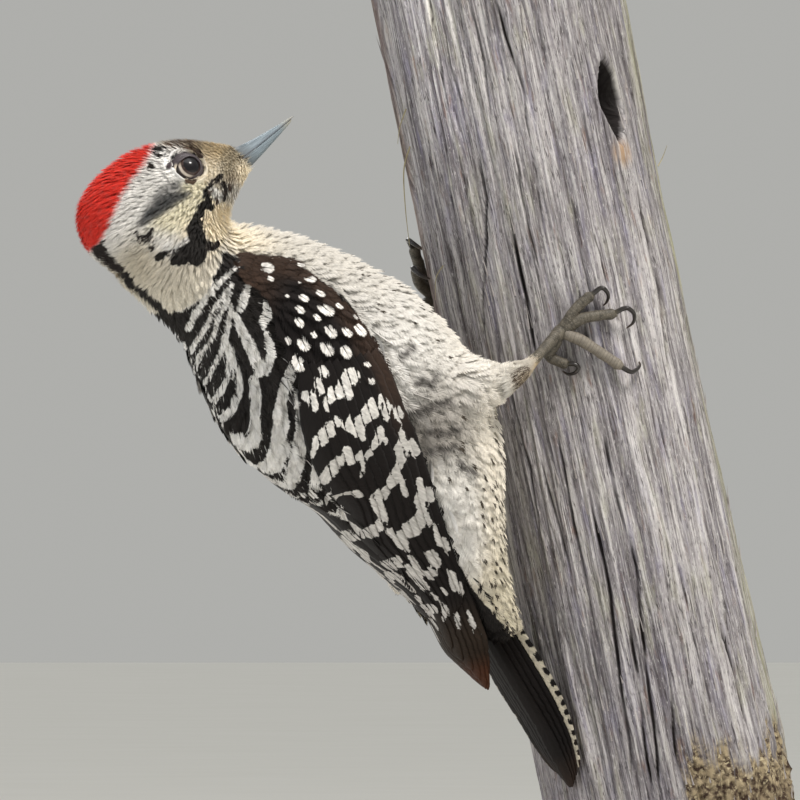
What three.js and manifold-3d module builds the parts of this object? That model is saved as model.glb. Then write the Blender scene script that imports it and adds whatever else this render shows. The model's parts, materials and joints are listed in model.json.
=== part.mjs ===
// A ladder-backed woodpecker, life size, clinging to a cut length of weathered trunk on a display stand.
//
// Units are millimetres, +Z is up, and the origin is the centre of the underside of the stand's base.
// Everything above the base is drawn in the perch's own frame, which a group then leans and turns:
//   X points out of the trunk's axis through the middle of the bird's back,
//   Y points to the bird's right, and Z runs up the trunk's axis.
// So a place is written (out, right, up), with the trunk's axis at out = 0, right = 0.

import * as THREE from "three";
import { mergeVertices } from "three/addons/utils/BufferGeometryUtils.js";
import Module from "manifold-3d";

const wasm = await Module();
wasm.setup();

// ---------------------------------------------------------------- driving dimensions

const GAP = 0.35; // clearance between two pieces that touch on the real bird

const BASE = { radius: 62, height: 10, bevel: 1.6, plinthStep: 2.2 };
const ROD = { radius: 4, intoPerch: 12 };

const PERCH = {
  radius: 23.3, // a trunk 46.6 mm thick
  top: 83, // cut ends, measured up the axis from the place level with the bird's feet
  bottom: -83.5,
  leanDeg: 11.87, // its top leans to the viewer's left
  backTurnDeg: 40, // how far the bird sits round the trunk, towards the viewer
  centreX: 8,
  centreY: 14,
  centreZ: 108,
};

// The beetle hole high on the trunk, and the broken knot near its foot.
const HOLE = { turnDeg: 92, up: 52.5, halfWidth: 2.3, halfHeight: 7.2, depth: 7 };
const KNOT = { turnDeg: 93, up: -72, spreadDeg: 15, height: 8, swell: 1.1 };

// The body from the back of the head to the end of the folded wings: the middle of each section
// in the bird's plane of symmetry, with half its depth (back to belly) and half its width.
const BODY = [
  { name: "skull base", out: 92.8, up: 48.6, depth: 11.4, width: 10.6 },
  { name: "nape", out: 90.8, up: 44.4, depth: 12.6, width: 11.6 },
  { name: "hind neck", out: 87.2, up: 38.7, depth: 10.9, width: 12.4 },
  { name: "neck base", out: 80.7, up: 34.8, depth: 12.5, width: 14.6 },
  { name: "shoulders", out: 73.4, up: 29.2, depth: 15.9, width: 18.4 },
  { name: "wrists", out: 67.2, up: 22.4, depth: 19.6, width: 21.6 },
  { name: "breast", out: 62.4, up: 16.2, depth: 22.2, width: 22.8 },
  { name: "mid back", out: 56.4, up: 9.9, depth: 22.6, width: 22.8 },
  { name: "belly", out: 50.9, up: 3.6, depth: 21.8, width: 22.2 },
  { name: "thighs", out: 47.0, up: -4.3, depth: 19.5, width: 21.0 },
  { name: "lower belly", out: 44.5, up: -13.1, depth: 15.5, width: 18.6 },
  { name: "vent", out: 41.9, up: -21.8, depth: 10.9, width: 14.8 },
  { name: "tail coverts", out: 39.2, up: -30.0, depth: 7.9, width: 11.4 },
  { name: "rump end", out: 36.2, up: -37.8, depth: 6.0, width: 9.2 },
  { name: "wing points", out: 34.6, up: -44.0, depth: 3.9, width: 6.6 },
  { name: "wing tips", out: 33.4, up: -49.8, depth: 2.2, width: 3.4 },
];
const NECK_CUT = 1.6; // stations, counted along BODY: where the neck meets the head
const TORSO_CUT = 2.45; // and where it meets the trunk of the body
const TORSO_END = 13.4;

// The folded wing, as angles round the body from the middle of the back, at BODY's stations.
const WING = [
  { station: 2.4, inner: 84, outer: 98 },
  { station: 2.8, inner: 72, outer: 107 },
  { station: 3.4, inner: 64, outer: 108 },
  { station: 4, inner: 50, outer: 103 },
  { station: 5, inner: 36, outer: 92 },
  { station: 6, inner: 25, outer: 84 },
  { station: 7, inner: 13, outer: 72 },
  { station: 8, inner: 9, outer: 65 },
  { station: 9, inner: 6, outer: 60 },
  { station: 10.2, inner: 5, outer: 55 },
  { station: 11, inner: 5, outer: 51 },
  { station: 12, inner: 5, outer: 49 },
  { station: 13, inner: 5, outer: 42 },
  { station: 14, inner: 6, outer: 32 },
  { station: 14.8, inner: 8, outer: 24 },
];
const WING_THICK = { shoulder: 2.6, tip: 1.1, edge: 0.7 };

// The tail is a stiff, slightly bowed prop that leans on the trunk.
const TAIL = [
  { out: 36.0, up: -33.0, width: 6.6, thick: 1.5 },
  { out: 33.6, up: -40.0, width: 8.0, thick: 1.5 },
  { out: 29.4, up: -50.0, width: 8.4, thick: 1.3 },
  { out: 26.6, up: -57.0, width: 7.9, thick: 1.1 },
  { out: 25.1, up: -64.0, width: 6.2, thick: 0.8 },
  { out: 24.6, up: -70.0, width: 2.6, thick: 0.5 },
];

// The head has its own frame: +X runs forward along the bill, +Y to the bird's left, +Z to the crown.
// Its origin is in the middle of the feathered base of the bill.
const HEAD = {
  pivot: { out: 95.1, right: 0, up: 45.5 }, // where the skull sits on the neck
  pivotToBillBase: 22,
  pivotDrop: 3, // the pivot is this far below the bill's axis
  turnDeg: 24.8, // towards the bird's right
  raiseDeg: 22.4,
  rollDeg: 5.9, // the crown tips to the bird's left
};
// Head sections along the bill's axis: top and bottom above it, and half the width.
const HEAD_SECTIONS = [
  { along: 1.4, top: 2.3, bottom: -3.0, width: 2.7 },
  { along: -1.9, top: 5.4, bottom: -4.6, width: 4.7 },
  { along: -5.7, top: 8.8, bottom: -6.4, width: 6.9 },
  { along: -9.5, top: 11.1, bottom: -8.0, width: 8.5 },
  { along: -13.2, top: 12.5, bottom: -9.2, width: 9.5 },
  { along: -17.5, top: 13.1, bottom: -10.2, width: 10.1 },
  { along: -22.8, top: 12.8, bottom: -10.2, width: 10.1 },
  { along: -27.6, top: 11.4, bottom: -8.4, width: 8.9 },
  { along: -31.0, top: 9.0, bottom: -5.0, width: 6.6 },
  { along: -32.9, top: 5.4, bottom: 0.4, width: 3.0 },
];
const EYE = { radius: 3.3, along: -10.4, right: 5.2, above: 3.7 };
const BILL = {
  start: 1.8, // the horn that shows starts just past the feathers
  tip: 13.6,
  lowerTip: 12.9,
  halfWidth: 2.3,
  upperHeight: 2.3,
  lowerHeight: 1.9,
  commissure: -0.45,
  tipRise: 0.45,
  tipHalfWidth: 0.45,
};

// Legs, right side first. A toe is listed as places on the trunk: turn round it and height up it.
const LEGS = {
  right: {
    knee: { out: 46, right: 15, up: 5.5 },
    midThigh: { out: 40.4, right: 19.6, up: 7.2 },
    ankle: { out: 33.6, right: 23.4, up: 9.3 },
    palm: { turn: 46, up: 13.6 },
    toes: [
      { name: "1", path: [[42, 12.2], [40, 9.6]], lift: 0.6, clawTo: [[41.5, 7.4], [46, 6.4]] },
      { name: "2", path: [[52, 16], [60, 18.6]], lift: 0.9, clawTo: [[66, 19.6], [68.5, 17.4]] },
      { name: "3", path: [[60, 14.9], [73, 15.2]], lift: 0.9, clawTo: [[78.5, 14.8], [79, 12.4]] },
      { name: "4", path: [[56, 9.6], [70.5, 4.6]], lift: 0.8, clawTo: [[76.5, 3.4], [76, 1.2]] },
    ],
  },
  left: {
    knee: { out: 50, right: -14.5, up: 12 },
    midThigh: { out: 43, right: -19.8, up: 15 },
    ankle: { out: 33, right: -24.6, up: 18.6 },
    palm: { turn: -61, up: 24.5 },
    toes: [
      { name: "1", path: [[-58, 22.6], [-57, 19.8]], lift: 0.6, clawTo: [[-58, 17.6], [-62, 16.6]] },
      { name: "2", path: [[-50, 28], [-42, 30.4]], lift: 2.2, clawTo: [[-36, 30.2], [-34, 28.4]] },
      { name: "3", path: [[-56, 30], [-48, 34.6]], lift: 2.2, clawTo: [[-42, 35.2], [-39, 33.2]] },
      { name: "4", path: [[-70, 24.6], [-86, 22.4]], lift: 0.8, clawTo: [[-92, 21.4], [-92.5, 19.2]] },
    ],
  },
};
const TOE_RADIUS = { palm: 1.15, knuckle: 1.0, tip: 0.8 };
const CLAW_RADIUS = { root: 0.72, middle: 0.52, tip: 0.16 };
const TARSUS_RADIUS = { ankle: 1.15, shaft: 0.92, palm: 1.1 };
const THIGH_RADIUS = { knee: 8.4, middle: 6.0, ankle: 2.1 };

// ---------------------------------------------------------------- finishes

function finish(color, roughness, metalness = 0) {
  return { color, roughness, metalness };
}

const FINISH = {
  crown: finish("#c8281e", 0.8),
  neck: finish("#d9cfbd", 0.8),
  plumage: finish("#dcd6c8", 0.8),
  wing: finish("#241d1b", 0.7),
  tail: finish("#17130f", 0.6),
  horn: finish("#7d8a92", 0.4),
  claw: finish("#1c1815", 0.35),
  leg: finish("#7a7a66", 0.6),
  eye: finish("#140a0a", 0.1),
  wood: finish("#8d8580", 0.9),
  base: finish("#1d1d1f", 0.5),
  steel: finish("#8f9296", 0.3, 1),
};

// ---------------------------------------------------------------- shape helpers

const radians = THREE.MathUtils.degToRad;
const OUT = new THREE.Vector3(1, 0, 0);
const RIGHT = new THREE.Vector3(0, 1, 0);
const UP = new THREE.Vector3(0, 0, 1);

function turnAbout(axis, degrees) {
  return new THREE.Quaternion().setFromAxisAngle(axis, radians(degrees));
}

// A closed skin over rings of equal count, with a fan over each end, facing outwards.
function loftRings(rings) {
  const count = rings[0].length;
  const positions = rings.flat().flatMap((p) => [p.x, p.y, p.z]);
  const indices = [];
  for (let ring = 0; ring + 1 < rings.length; ring += 1) {
    for (let k = 0; k < count; k += 1) {
      const next = (k + 1) % count;
      const a = ring * count + k;
      const b = ring * count + next;
      indices.push(a, b, a + count, b, b + count, a + count);
    }
  }
  const caps = [[rings[0], 0, false], [rings[rings.length - 1], (rings.length - 1) * count, true]];
  for (const [ring, first, forward] of caps) {
    const centre = ring.reduce((sum, p) => sum.add(p), new THREE.Vector3()).divideScalar(count);
    const middle = positions.length / 3;
    positions.push(centre.x, centre.y, centre.z);
    for (let k = 0; k < count; k += 1) {
      const here = first + k;
      const next = first + ((k + 1) % count);
      indices.push(...(forward ? [here, next, middle] : [next, here, middle]));
    }
  }
  return faceOutwards(positions, indices);
}

// A BufferGeometry whose triangles are turned round if they enclose a negative volume.
function faceOutwards(positions, indices) {
  const corner = (i) => new THREE.Vector3().fromArray(positions, indices[i] * 3);
  let volume = 0;
  for (let i = 0; i < indices.length; i += 3) {
    volume += corner(i).dot(corner(i + 1).cross(corner(i + 2)));
  }
  if (volume < 0) {
    indices.reverse();
  }
  const geometry = new THREE.BufferGeometry();
  geometry.setAttribute("position", new THREE.Float32BufferAttribute(positions, 3));
  geometry.setIndex(indices);
  return geometry;
}

function toSolid(geometry) {
  const bare = geometry.clone();
  bare.deleteAttribute("normal");
  bare.deleteAttribute("uv");
  const merged = mergeVertices(bare, 1e-4);
  return new wasm.Manifold(new wasm.Mesh({
    numProp: 3,
    vertProperties: new Float32Array(merged.attributes.position.array),
    triVerts: new Uint32Array(merged.index.array),
  }));
}

function toGeometry(solid) {
  const mesh = solid.getMesh();
  const geometry = new THREE.BufferGeometry();
  geometry.setAttribute("position", new THREE.Float32BufferAttribute(mesh.vertProperties, 3));
  geometry.setIndex(Array.from(mesh.triVerts));
  return geometry;
}

// Values given at stations, blended smoothly: returns a function of the station number.
function blend(stations, values) {
  return (station) => {
    let i = 0;
    while (i + 2 < stations.length && station > stations[i + 1]) {
      i += 1;
    }
    const share = THREE.MathUtils.clamp((station - stations[i]) / (stations[i + 1] - stations[i]), 0, 1);
    const before = values[Math.max(i - 1, 0)];
    const after = values[Math.min(i + 2, values.length - 1)];
    const slopeIn = (values[i + 1] - before) / 2;
    const slopeOut = (after - values[i]) / 2;
    const s2 = share * share;
    const s3 = s2 * share;
    return values[i] * (2 * s3 - 3 * s2 + 1) + slopeIn * (s3 - 2 * s2 + share)
      + values[i + 1] * (3 * s2 - 2 * s3) + slopeOut * (s3 - s2);
  };
}

// A round bar along a smooth curve through points, its radius blended through radii.
function taperedBar(points, radii, steps, sides) {
  const curve = new THREE.CatmullRomCurve3(points, false, "centripetal");
  const frames = curve.computeFrenetFrames(steps, false);
  const radiusAt = blend(radii.map((_, i) => i), radii);
  const rings = [];
  for (let step = 0; step <= steps; step += 1) {
    const share = step / steps;
    const centre = curve.getPointAt(share);
    const radius = radiusAt(share * (radii.length - 1));
    rings.push(circle(centre, frames.normals[step], frames.binormals[step], radius, radius, sides));
  }
  return loftRings(rings);
}

function circle(centre, first, second, firstRadius, secondRadius, sides) {
  return Array.from({ length: sides }, (_, k) => {
    const angle = (2 * Math.PI * k) / sides;
    return centre.clone()
      .addScaledVector(first, firstRadius * Math.cos(angle))
      .addScaledVector(second, secondRadius * Math.sin(angle));
  });
}

// ---------------------------------------------------------------- body

const stationNumbers = BODY.map((_, i) => i);
const bodyOut = blend(stationNumbers, BODY.map((s) => s.out));
const bodyUp = blend(stationNumbers, BODY.map((s) => s.up));
const bodyDepth = blend(stationNumbers, BODY.map((s) => s.depth));
const bodyWidth = blend(stationNumbers, BODY.map((s) => s.width));

function bodyFrame(station) {
  const step = 0.05;
  const centre = new THREE.Vector3(bodyOut(station), 0, bodyUp(station));
  const ahead = Math.max(station - step, 0);
  const behind = Math.min(station + step, BODY.length - 1);
  const towardsHead = new THREE.Vector3(
    bodyOut(ahead) - bodyOut(behind), 0, bodyUp(ahead) - bodyUp(behind),
  ).normalize();
  const back = RIGHT.clone().cross(towardsHead);
  return { centre, towardsHead, back };
}

// A point on the body's outline: angle round from the middle of the back to the bird's right.
function bodyPoint(station, angleDeg, rise) {
  const { centre, back } = bodyFrame(station);
  const angle = radians(angleDeg);
  return centre
    .addScaledVector(back, (bodyDepth(station) + rise) * Math.cos(angle))
    .addScaledVector(RIGHT, (bodyWidth(station) + rise) * Math.sin(angle));
}

function bodySolid(from, to, steps, sides, rise) {
  const rings = [];
  for (let step = 0; step <= steps; step += 1) {
    const station = from + ((to - from) * step) / steps;
    const angles = Array.from({ length: sides }, (_, k) => (360 * k) / sides);
    rings.push(angles.map((angle) => bodyPoint(station, angle, rise)));
  }
  return toSolid(loftRings(rings));
}

// Everything on the tail side of a plane across the body, shifted from a station towards the head.
function tailSide(station, shift) {
  const { centre, towardsHead, back } = bodyFrame(station);
  const block = new THREE.BoxGeometry(200, 200, 200);
  block.translate(0, 0, shift - 100);
  block.applyMatrix4(new THREE.Matrix4().makeBasis(back, RIGHT, towardsHead).setPosition(centre));
  return toSolid(block);
}

// ---------------------------------------------------------------- wings

const wingStations = WING.map((s) => s.station);
const wingInner = blend(wingStations, WING.map((s) => s.inner));
const wingOuter = blend(wingStations, WING.map((s) => s.outer));

// A curved plate on the body's outline. A positive grow makes the pocket that the plate lies in.
function wingSolid(side, grow) {
  const first = WING[0].station;
  const last = WING[WING.length - 1].station;
  const lengthSteps = 16;
  const acrossSteps = 7;
  const growAngle = grow * 3;
  const rings = [];
  for (let step = 0; step <= lengthSteps; step += 1) {
    const share = step / lengthSteps;
    const station = first + (last - first) * share;
    const end = step === 0 ? -1 : step === lengthSteps ? 1 : 0;
    const inner = wingInner(station) - growAngle;
    const outer = wingOuter(station) + growAngle;
    const full = THREE.MathUtils.lerp(WING_THICK.shoulder, WING_THICK.tip, share);
    const top = [];
    const bottom = [];
    for (let k = 0; k <= acrossSteps; k += 1) {
      const across = k / acrossSteps;
      const angle = side * THREE.MathUtils.lerp(inner, outer, across);
      const crown = 1 - (2 * across - 1) ** 4;
      const ends = Math.min(1, share * 6, (1 - share) * 6);
      const thickness = WING_THICK.edge + (full - WING_THICK.edge) * crown * ends;
      const shift = end * grow * 0.4;
      top.push(bodyPoint(station, angle, grow * 3).addScaledVector(bodyFrame(station).towardsHead, -shift));
      bottom.push(bodyPoint(station, angle, -thickness - grow));
    }
    rings.push([...top, ...bottom.reverse()]);
  }
  return toSolid(loftRings(rings));
}

// ---------------------------------------------------------------- tail

function tailSolid(grow) {
  const places = TAIL.map((s) => new THREE.Vector3(s.out, 0, s.up));
  const curve = new THREE.CatmullRomCurve3(places, false, "centripetal");
  const widthAt = blend(TAIL.map((_, i) => i), TAIL.map((s) => s.width));
  const thickAt = blend(TAIL.map((_, i) => i), TAIL.map((s) => s.thick));
  const steps = 12;
  const rings = [];
  for (let step = 0; step <= steps; step += 1) {
    const share = step / steps;
    const centre = curve.getPoint(share);
    const towardsTip = curve.getTangent(share);
    const back = towardsTip.clone().cross(RIGHT);
    const place = share * (TAIL.length - 1);
    rings.push(circle(centre, back, RIGHT, thickAt(place) + grow, widthAt(place) + grow, 16));
  }
  return toSolid(loftRings(rings));
}

// ---------------------------------------------------------------- head

// The head's frame, set in the perch's frame.
function headMatrix() {
  const rotation = turnAbout(UP, 180 - HEAD.turnDeg)
    .multiply(turnAbout(RIGHT, -HEAD.raiseDeg))
    .multiply(turnAbout(OUT, -HEAD.rollDeg));
  const origin = new THREE.Vector3(HEAD.pivotToBillBase, 0, HEAD.pivotDrop).applyQuaternion(rotation);
  origin.add(new THREE.Vector3(HEAD.pivot.out, HEAD.pivot.right, HEAD.pivot.up));
  return new THREE.Matrix4().compose(origin, rotation, new THREE.Vector3(1, 1, 1));
}

const HEAD_TO_PERCH = headMatrix();

function headSolid() {
  const places = HEAD_SECTIONS.map((_, i) => i);
  const along = blend(places, HEAD_SECTIONS.map((s) => s.along));
  const top = blend(places, HEAD_SECTIONS.map((s) => s.top));
  const bottom = blend(places, HEAD_SECTIONS.map((s) => s.bottom));
  const width = blend(places, HEAD_SECTIONS.map((s) => s.width));
  const steps = 15;
  const rings = [];
  for (let step = 0; step <= steps; step += 1) {
    const place = (step / steps) * (HEAD_SECTIONS.length - 1);
    const middle = (top(place) + bottom(place)) / 2;
    const centre = new THREE.Vector3(along(place), 0, middle);
    const height = (top(place) - bottom(place)) / 2;
    rings.push(circle(centre, UP, RIGHT, height, width(place), 20));
  }
  return toSolid(loftRings(rings).applyMatrix4(HEAD_TO_PERCH));
}

// side is 1 for the bird's right, -1 for its left.
function eyeSolid(side, grow) {
  const ball = new THREE.SphereGeometry(EYE.radius + grow, 12, 8);
  ball.translate(EYE.along, -side * EYE.right, EYE.above);
  return toSolid(ball.applyMatrix4(HEAD_TO_PERCH));
}

// One half of the bill: an arched bar, flat where the two halves meet.
function billSolid(upper) {
  const sign = upper ? 1 : -1;
  const tip = upper ? BILL.tip : BILL.lowerTip;
  const rootHeight = upper ? BILL.upperHeight : BILL.lowerHeight;
  const steps = 8;
  const arcs = 7;
  const rings = [];
  for (let step = 0; step <= steps; step += 1) {
    const share = step / steps;
    const along = THREE.MathUtils.lerp(BILL.start, tip, share);
    const seam = THREE.MathUtils.lerp(BILL.commissure, BILL.tipRise, share ** 1.4) + sign * 0.15;
    const halfWidth = THREE.MathUtils.lerp(BILL.halfWidth, BILL.tipHalfWidth, share ** 0.85);
    const height = THREE.MathUtils.lerp(rootHeight, 0.22, share ** 0.92);
    const ring = [];
    for (let k = 0; k <= arcs; k += 1) {
      const angle = (Math.PI * k) / arcs;
      const rise = seam + sign * height * Math.sin(angle) ** 0.9;
      ring.push(new THREE.Vector3(along, halfWidth * Math.cos(angle), rise));
    }
    rings.push(ring);
  }
  return loftRings(rings).applyMatrix4(HEAD_TO_PERCH);
}

// ---------------------------------------------------------------- perch

// The trunk's radius at a turn from the bird's plane and a height: round, with shallow flutes.
function perchRadius(turnDeg, up) {
  const turn = radians(turnDeg);
  const flutes = 0.28 * Math.cos(3 * turn + 0.8 + up * 0.012) + 0.16 * Math.cos(7 * turn - 1.1 - up * 0.02);
  const fromKnot = ((turnDeg - KNOT.turnDeg) / KNOT.spreadDeg) ** 2 + ((up - KNOT.up) / KNOT.height) ** 2;
  return PERCH.radius + flutes + KNOT.swell * Math.exp(-fromKnot);
}

// A place standing off the trunk's surface by a clear distance.
function onPerch(turnDeg, up, clear) {
  const radius = perchRadius(turnDeg, up) + clear;
  return new THREE.Vector3(radius * Math.cos(radians(turnDeg)), radius * Math.sin(radians(turnDeg)), up);
}

function perchSolid() {
  const sides = 32;
  const steps = 8;
  const rings = [];
  for (let step = 0; step <= steps; step += 1) {
    const up = THREE.MathUtils.lerp(PERCH.bottom, PERCH.top, step / steps);
    rings.push(Array.from({ length: sides }, (_, k) => onPerch((360 * k) / sides, up, 0)));
  }
  const hole = new THREE.SphereGeometry(1, 12, 8);
  hole.scale(HOLE.depth, HOLE.halfWidth, HOLE.halfHeight);
  hole.translate(PERCH.radius, 0, 0);
  hole.rotateZ(radians(HOLE.turnDeg));
  hole.translate(0, 0, HOLE.up);
  return toSolid(loftRings(rings)).subtract(toSolid(hole)).subtract(rodSolid(GAP));
}

// ---------------------------------------------------------------- legs

// The middle line of a toe, from the palm over its knuckle to its end.
function toePoints(leg, toe) {
  const palm = onPerch(leg.palm.turn, leg.palm.up, GAP + TOE_RADIUS.palm + 0.4);
  const [knuckle, end] = toe.path;
  return [
    palm,
    onPerch(knuckle[0], knuckle[1], GAP + TOE_RADIUS.knuckle + toe.lift),
    onPerch(end[0], end[1], GAP + TOE_RADIUS.tip + toe.lift * 0.8),
  ];
}

function footSolid(leg, grow) {
  const radii = [TOE_RADIUS.palm, TOE_RADIUS.knuckle, TOE_RADIUS.tip].map((r) => r + grow);
  const toes = leg.toes.map((toe) => toSolid(taperedBar(toePoints(leg, toe), radii, 5, 7)));
  return toes.reduce((foot, toe) => foot.add(toe));
}

function clawGeometry(leg, toe) {
  const [, knuckle, end] = toePoints(leg, toe);
  const ahead = end.clone().sub(knuckle).normalize();
  const [bend, tip] = toe.clawTo;
  const root = end.clone().addScaledVector(ahead, GAP);
  const points = [
    root,
    onPerch(bend[0], bend[1], 1.5 + toe.lift * 0.5),
    onPerch(tip[0], tip[1], 0.5),
  ];
  const radii = [CLAW_RADIUS.root, CLAW_RADIUS.middle, CLAW_RADIUS.tip];
  return taperedBar(points, radii, 6, 6);
}

function toPlace({ out, right, up }) {
  return new THREE.Vector3(out, right, up);
}

function tarsusBar(leg) {
  const palm = onPerch(leg.palm.turn, leg.palm.up, GAP + TOE_RADIUS.palm + 0.4);
  const ankle = toPlace(leg.ankle);
  const middle = ankle.clone().lerp(palm, 0.5).add(new THREE.Vector3(0.5, 0, 0.3));
  const radii = [TARSUS_RADIUS.ankle, TARSUS_RADIUS.shaft, TARSUS_RADIUS.palm];
  return toSolid(taperedBar([ankle, middle, palm], radii, 6, 8));
}

function thighBar(leg, grow) {
  const points = [toPlace(leg.knee), toPlace(leg.midThigh), toPlace(leg.ankle)];
  const radii = [THIGH_RADIUS.knee, THIGH_RADIUS.middle, THIGH_RADIUS.ankle].map((r) => r + grow);
  return toSolid(taperedBar(points, radii, 6, 14));
}

// ---------------------------------------------------------------- stand

// The rod is upright in the world, so in the perch's leaning frame it is turned back by the lean.
function worldToPerch() {
  return perchMatrix().invert();
}

function perchMatrix() {
  const rotation = turnAbout(RIGHT, -PERCH.leanDeg).multiply(turnAbout(UP, 180 + PERCH.backTurnDeg));
  const centre = new THREE.Vector3(PERCH.centreX, PERCH.centreY, PERCH.centreZ);
  return new THREE.Matrix4().compose(centre, rotation, new THREE.Vector3(1, 1, 1));
}

// The middle of the perch's lower end, in the world.
function perchFoot() {
  return new THREE.Vector3(0, 0, PERCH.bottom).applyMatrix4(perchMatrix());
}

function rodGeometry(grow) {
  const foot = perchFoot();
  const bottom = BASE.height + GAP - grow;
  const top = foot.z + ROD.intoPerch + grow;
  const rod = new THREE.CylinderGeometry(ROD.radius + grow, ROD.radius + grow, top - bottom, 24);
  rod.rotateX(Math.PI / 2);
  rod.translate(foot.x, foot.y, (top + bottom) / 2);
  return rod;
}

function rodSolid(grow) {
  return toSolid(rodGeometry(grow).applyMatrix4(worldToPerch()));
}

function baseGeometry() {
  const { radius, height, bevel, plinthStep } = BASE;
  const profile = [
    [0, 0],
    [radius, 0],
    [radius, height - bevel - plinthStep],
    [radius - bevel / 2, height - plinthStep],
    [radius - 2 * bevel, height - bevel],
    [radius - 3 * bevel, height],
    [0, height],
  ].map(([x, y]) => new THREE.Vector2(x, y));
  return new THREE.LatheGeometry(profile, 40).rotateX(Math.PI / 2);
}

// ---------------------------------------------------------------- assembly

const group = new THREE.Group();
const perchGroup = new THREE.Group();
perchGroup.applyMatrix4(perchMatrix());
group.add(perchGroup);

function addNode(parent, name, geometry, look) {
  const mesh = new THREE.Mesh(geometry, new THREE.MeshStandardMaterial(look));
  mesh.name = name;
  parent.add(mesh);
}

const tail = tailSolid(0);
const wings = { right: wingSolid(1, 0), left: wingSolid(-1, 0) };
const pockets = wingSolid(1, GAP).add(wingSolid(-1, GAP));
const headShape = headSolid();
const bodyShape = bodySolid(0, TORSO_END, 25, 24, 0);
const eyePockets = eyeSolid(1, GAP).add(eyeSolid(-1, GAP));

// The skull takes all of the head's own shape, and the rest is parted by thin cuts across the neck.
const whole = bodyShape.add(headShape).subtract(pockets).subtract(tailSolid(GAP)).subtract(eyePockets);
const head = whole.subtract(tailSide(NECK_CUT, GAP / 2));
const neckAndTorso = whole.intersect(tailSide(NECK_CUT, -GAP / 2));
const neck = neckAndTorso.subtract(tailSide(TORSO_CUT, GAP / 2));
const torso = neckAndTorso.intersect(tailSide(TORSO_CUT, -GAP / 2));

addNode(perchGroup, "head", toGeometry(head), FINISH.crown);
addNode(perchGroup, "neck", toGeometry(neck), FINISH.neck);
addNode(perchGroup, "torso", toGeometry(torso), FINISH.plumage);
addNode(perchGroup, "tail", toGeometry(tail), FINISH.tail);
addNode(perchGroup, "bill_upper", billSolid(true), FINISH.horn);
addNode(perchGroup, "bill_lower", billSolid(false), FINISH.horn);

const thickBody = bodySolid(2, TORSO_END, 21, 24, GAP);
for (const [sideName, sign] of [["right", 1], ["left", -1]]) {
  const leg = LEGS[sideName];
  const foot = footSolid(leg, 0);
  const thigh = thighBar(leg, 0).subtract(thickBody);
  const shank = tarsusBar(leg).subtract(thighBar(leg, GAP)).subtract(footSolid(leg, GAP));
  addNode(perchGroup, `eye_${sideName}`, toGeometry(eyeSolid(sign, 0)), FINISH.eye);
  addNode(perchGroup, `wing_${sideName}`, toGeometry(wings[sideName]), FINISH.wing);
  addNode(perchGroup, `thigh_${sideName}`, toGeometry(thigh), FINISH.plumage);
  addNode(perchGroup, `tarsus_${sideName}`, toGeometry(shank), FINISH.leg);
  addNode(perchGroup, `foot_${sideName}`, toGeometry(foot), FINISH.leg);
  for (const toe of leg.toes) {
    addNode(perchGroup, `claw_${sideName}_${toe.name}`, clawGeometry(leg, toe), FINISH.claw);
  }
}

addNode(perchGroup, "perch", toGeometry(perchSolid()), FINISH.wood);
addNode(group, "stand_rod", rodGeometry(0), FINISH.steel);
addNode(group, "stand_base", baseGeometry(), FINISH.base);

export default group;
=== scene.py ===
# %% [markdown]
# # A ladder-backed woodpecker on its trunk
#
# This lesson dresses a plain solid model of a small woodpecker, 182 mm long, as a museum would show it.
# The solids give every size. We lay a skin inside them, grow feathers out to their outline, and carve a
# sun-greyed trunk for the bird to cling to. All lengths are in millimetres until a mesh is made.

# %% Load the fixed frame
import json
import math

import bmesh
import bpy
import numpy as np
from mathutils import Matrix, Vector, kdtree
from mathutils.bvhtree import BVHTree

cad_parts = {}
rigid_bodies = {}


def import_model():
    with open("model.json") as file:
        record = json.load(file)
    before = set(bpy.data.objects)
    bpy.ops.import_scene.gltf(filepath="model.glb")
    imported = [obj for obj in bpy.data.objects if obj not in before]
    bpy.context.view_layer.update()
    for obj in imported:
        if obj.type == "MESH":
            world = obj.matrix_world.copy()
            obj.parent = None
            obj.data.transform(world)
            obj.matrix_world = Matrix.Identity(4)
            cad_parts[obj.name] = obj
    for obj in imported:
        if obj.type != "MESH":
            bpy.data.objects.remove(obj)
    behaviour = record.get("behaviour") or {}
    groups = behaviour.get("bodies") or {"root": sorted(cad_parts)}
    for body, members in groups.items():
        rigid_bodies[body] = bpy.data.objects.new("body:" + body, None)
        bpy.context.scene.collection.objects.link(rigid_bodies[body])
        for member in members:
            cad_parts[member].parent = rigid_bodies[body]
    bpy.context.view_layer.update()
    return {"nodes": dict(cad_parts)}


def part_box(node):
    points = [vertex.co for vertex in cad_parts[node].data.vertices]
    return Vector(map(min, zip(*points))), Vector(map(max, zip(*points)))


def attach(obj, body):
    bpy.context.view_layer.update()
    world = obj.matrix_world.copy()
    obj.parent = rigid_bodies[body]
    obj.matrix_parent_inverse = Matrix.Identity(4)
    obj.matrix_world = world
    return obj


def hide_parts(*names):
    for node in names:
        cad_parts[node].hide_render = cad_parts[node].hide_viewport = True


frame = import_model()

MM = 0.001
print("solids:", len(frame["nodes"]))

# %% [markdown]
# ## Two frames of reference
#
# A bird is easiest to describe from its own perch. So places on the body are written (out, right, up): out
# from the trunk's axis through the bird's back, to the bird's right, and up the trunk. The head has turned,
# so it gets a frame of its own: forward along the bill, left, and up to the crown. Both frames are worked
# out from the solids, so that they follow if the model changes.

# %% Find the perch's frame
TRUNK_ABOVE_FEET = 83.0


def corners_of(name):
    mesh = frame["nodes"][name].data
    points = np.zeros(len(mesh.vertices) * 3)
    mesh.vertices.foreach_get("co", points)
    return points.reshape(-1, 3) / MM


def unit(v):
    v = np.asarray(v, float)
    return v / np.linalg.norm(v, axis=-1, keepdims=True)


def box_middle(name):
    low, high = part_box(name)
    return np.array((low + high) / 2) / MM


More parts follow.
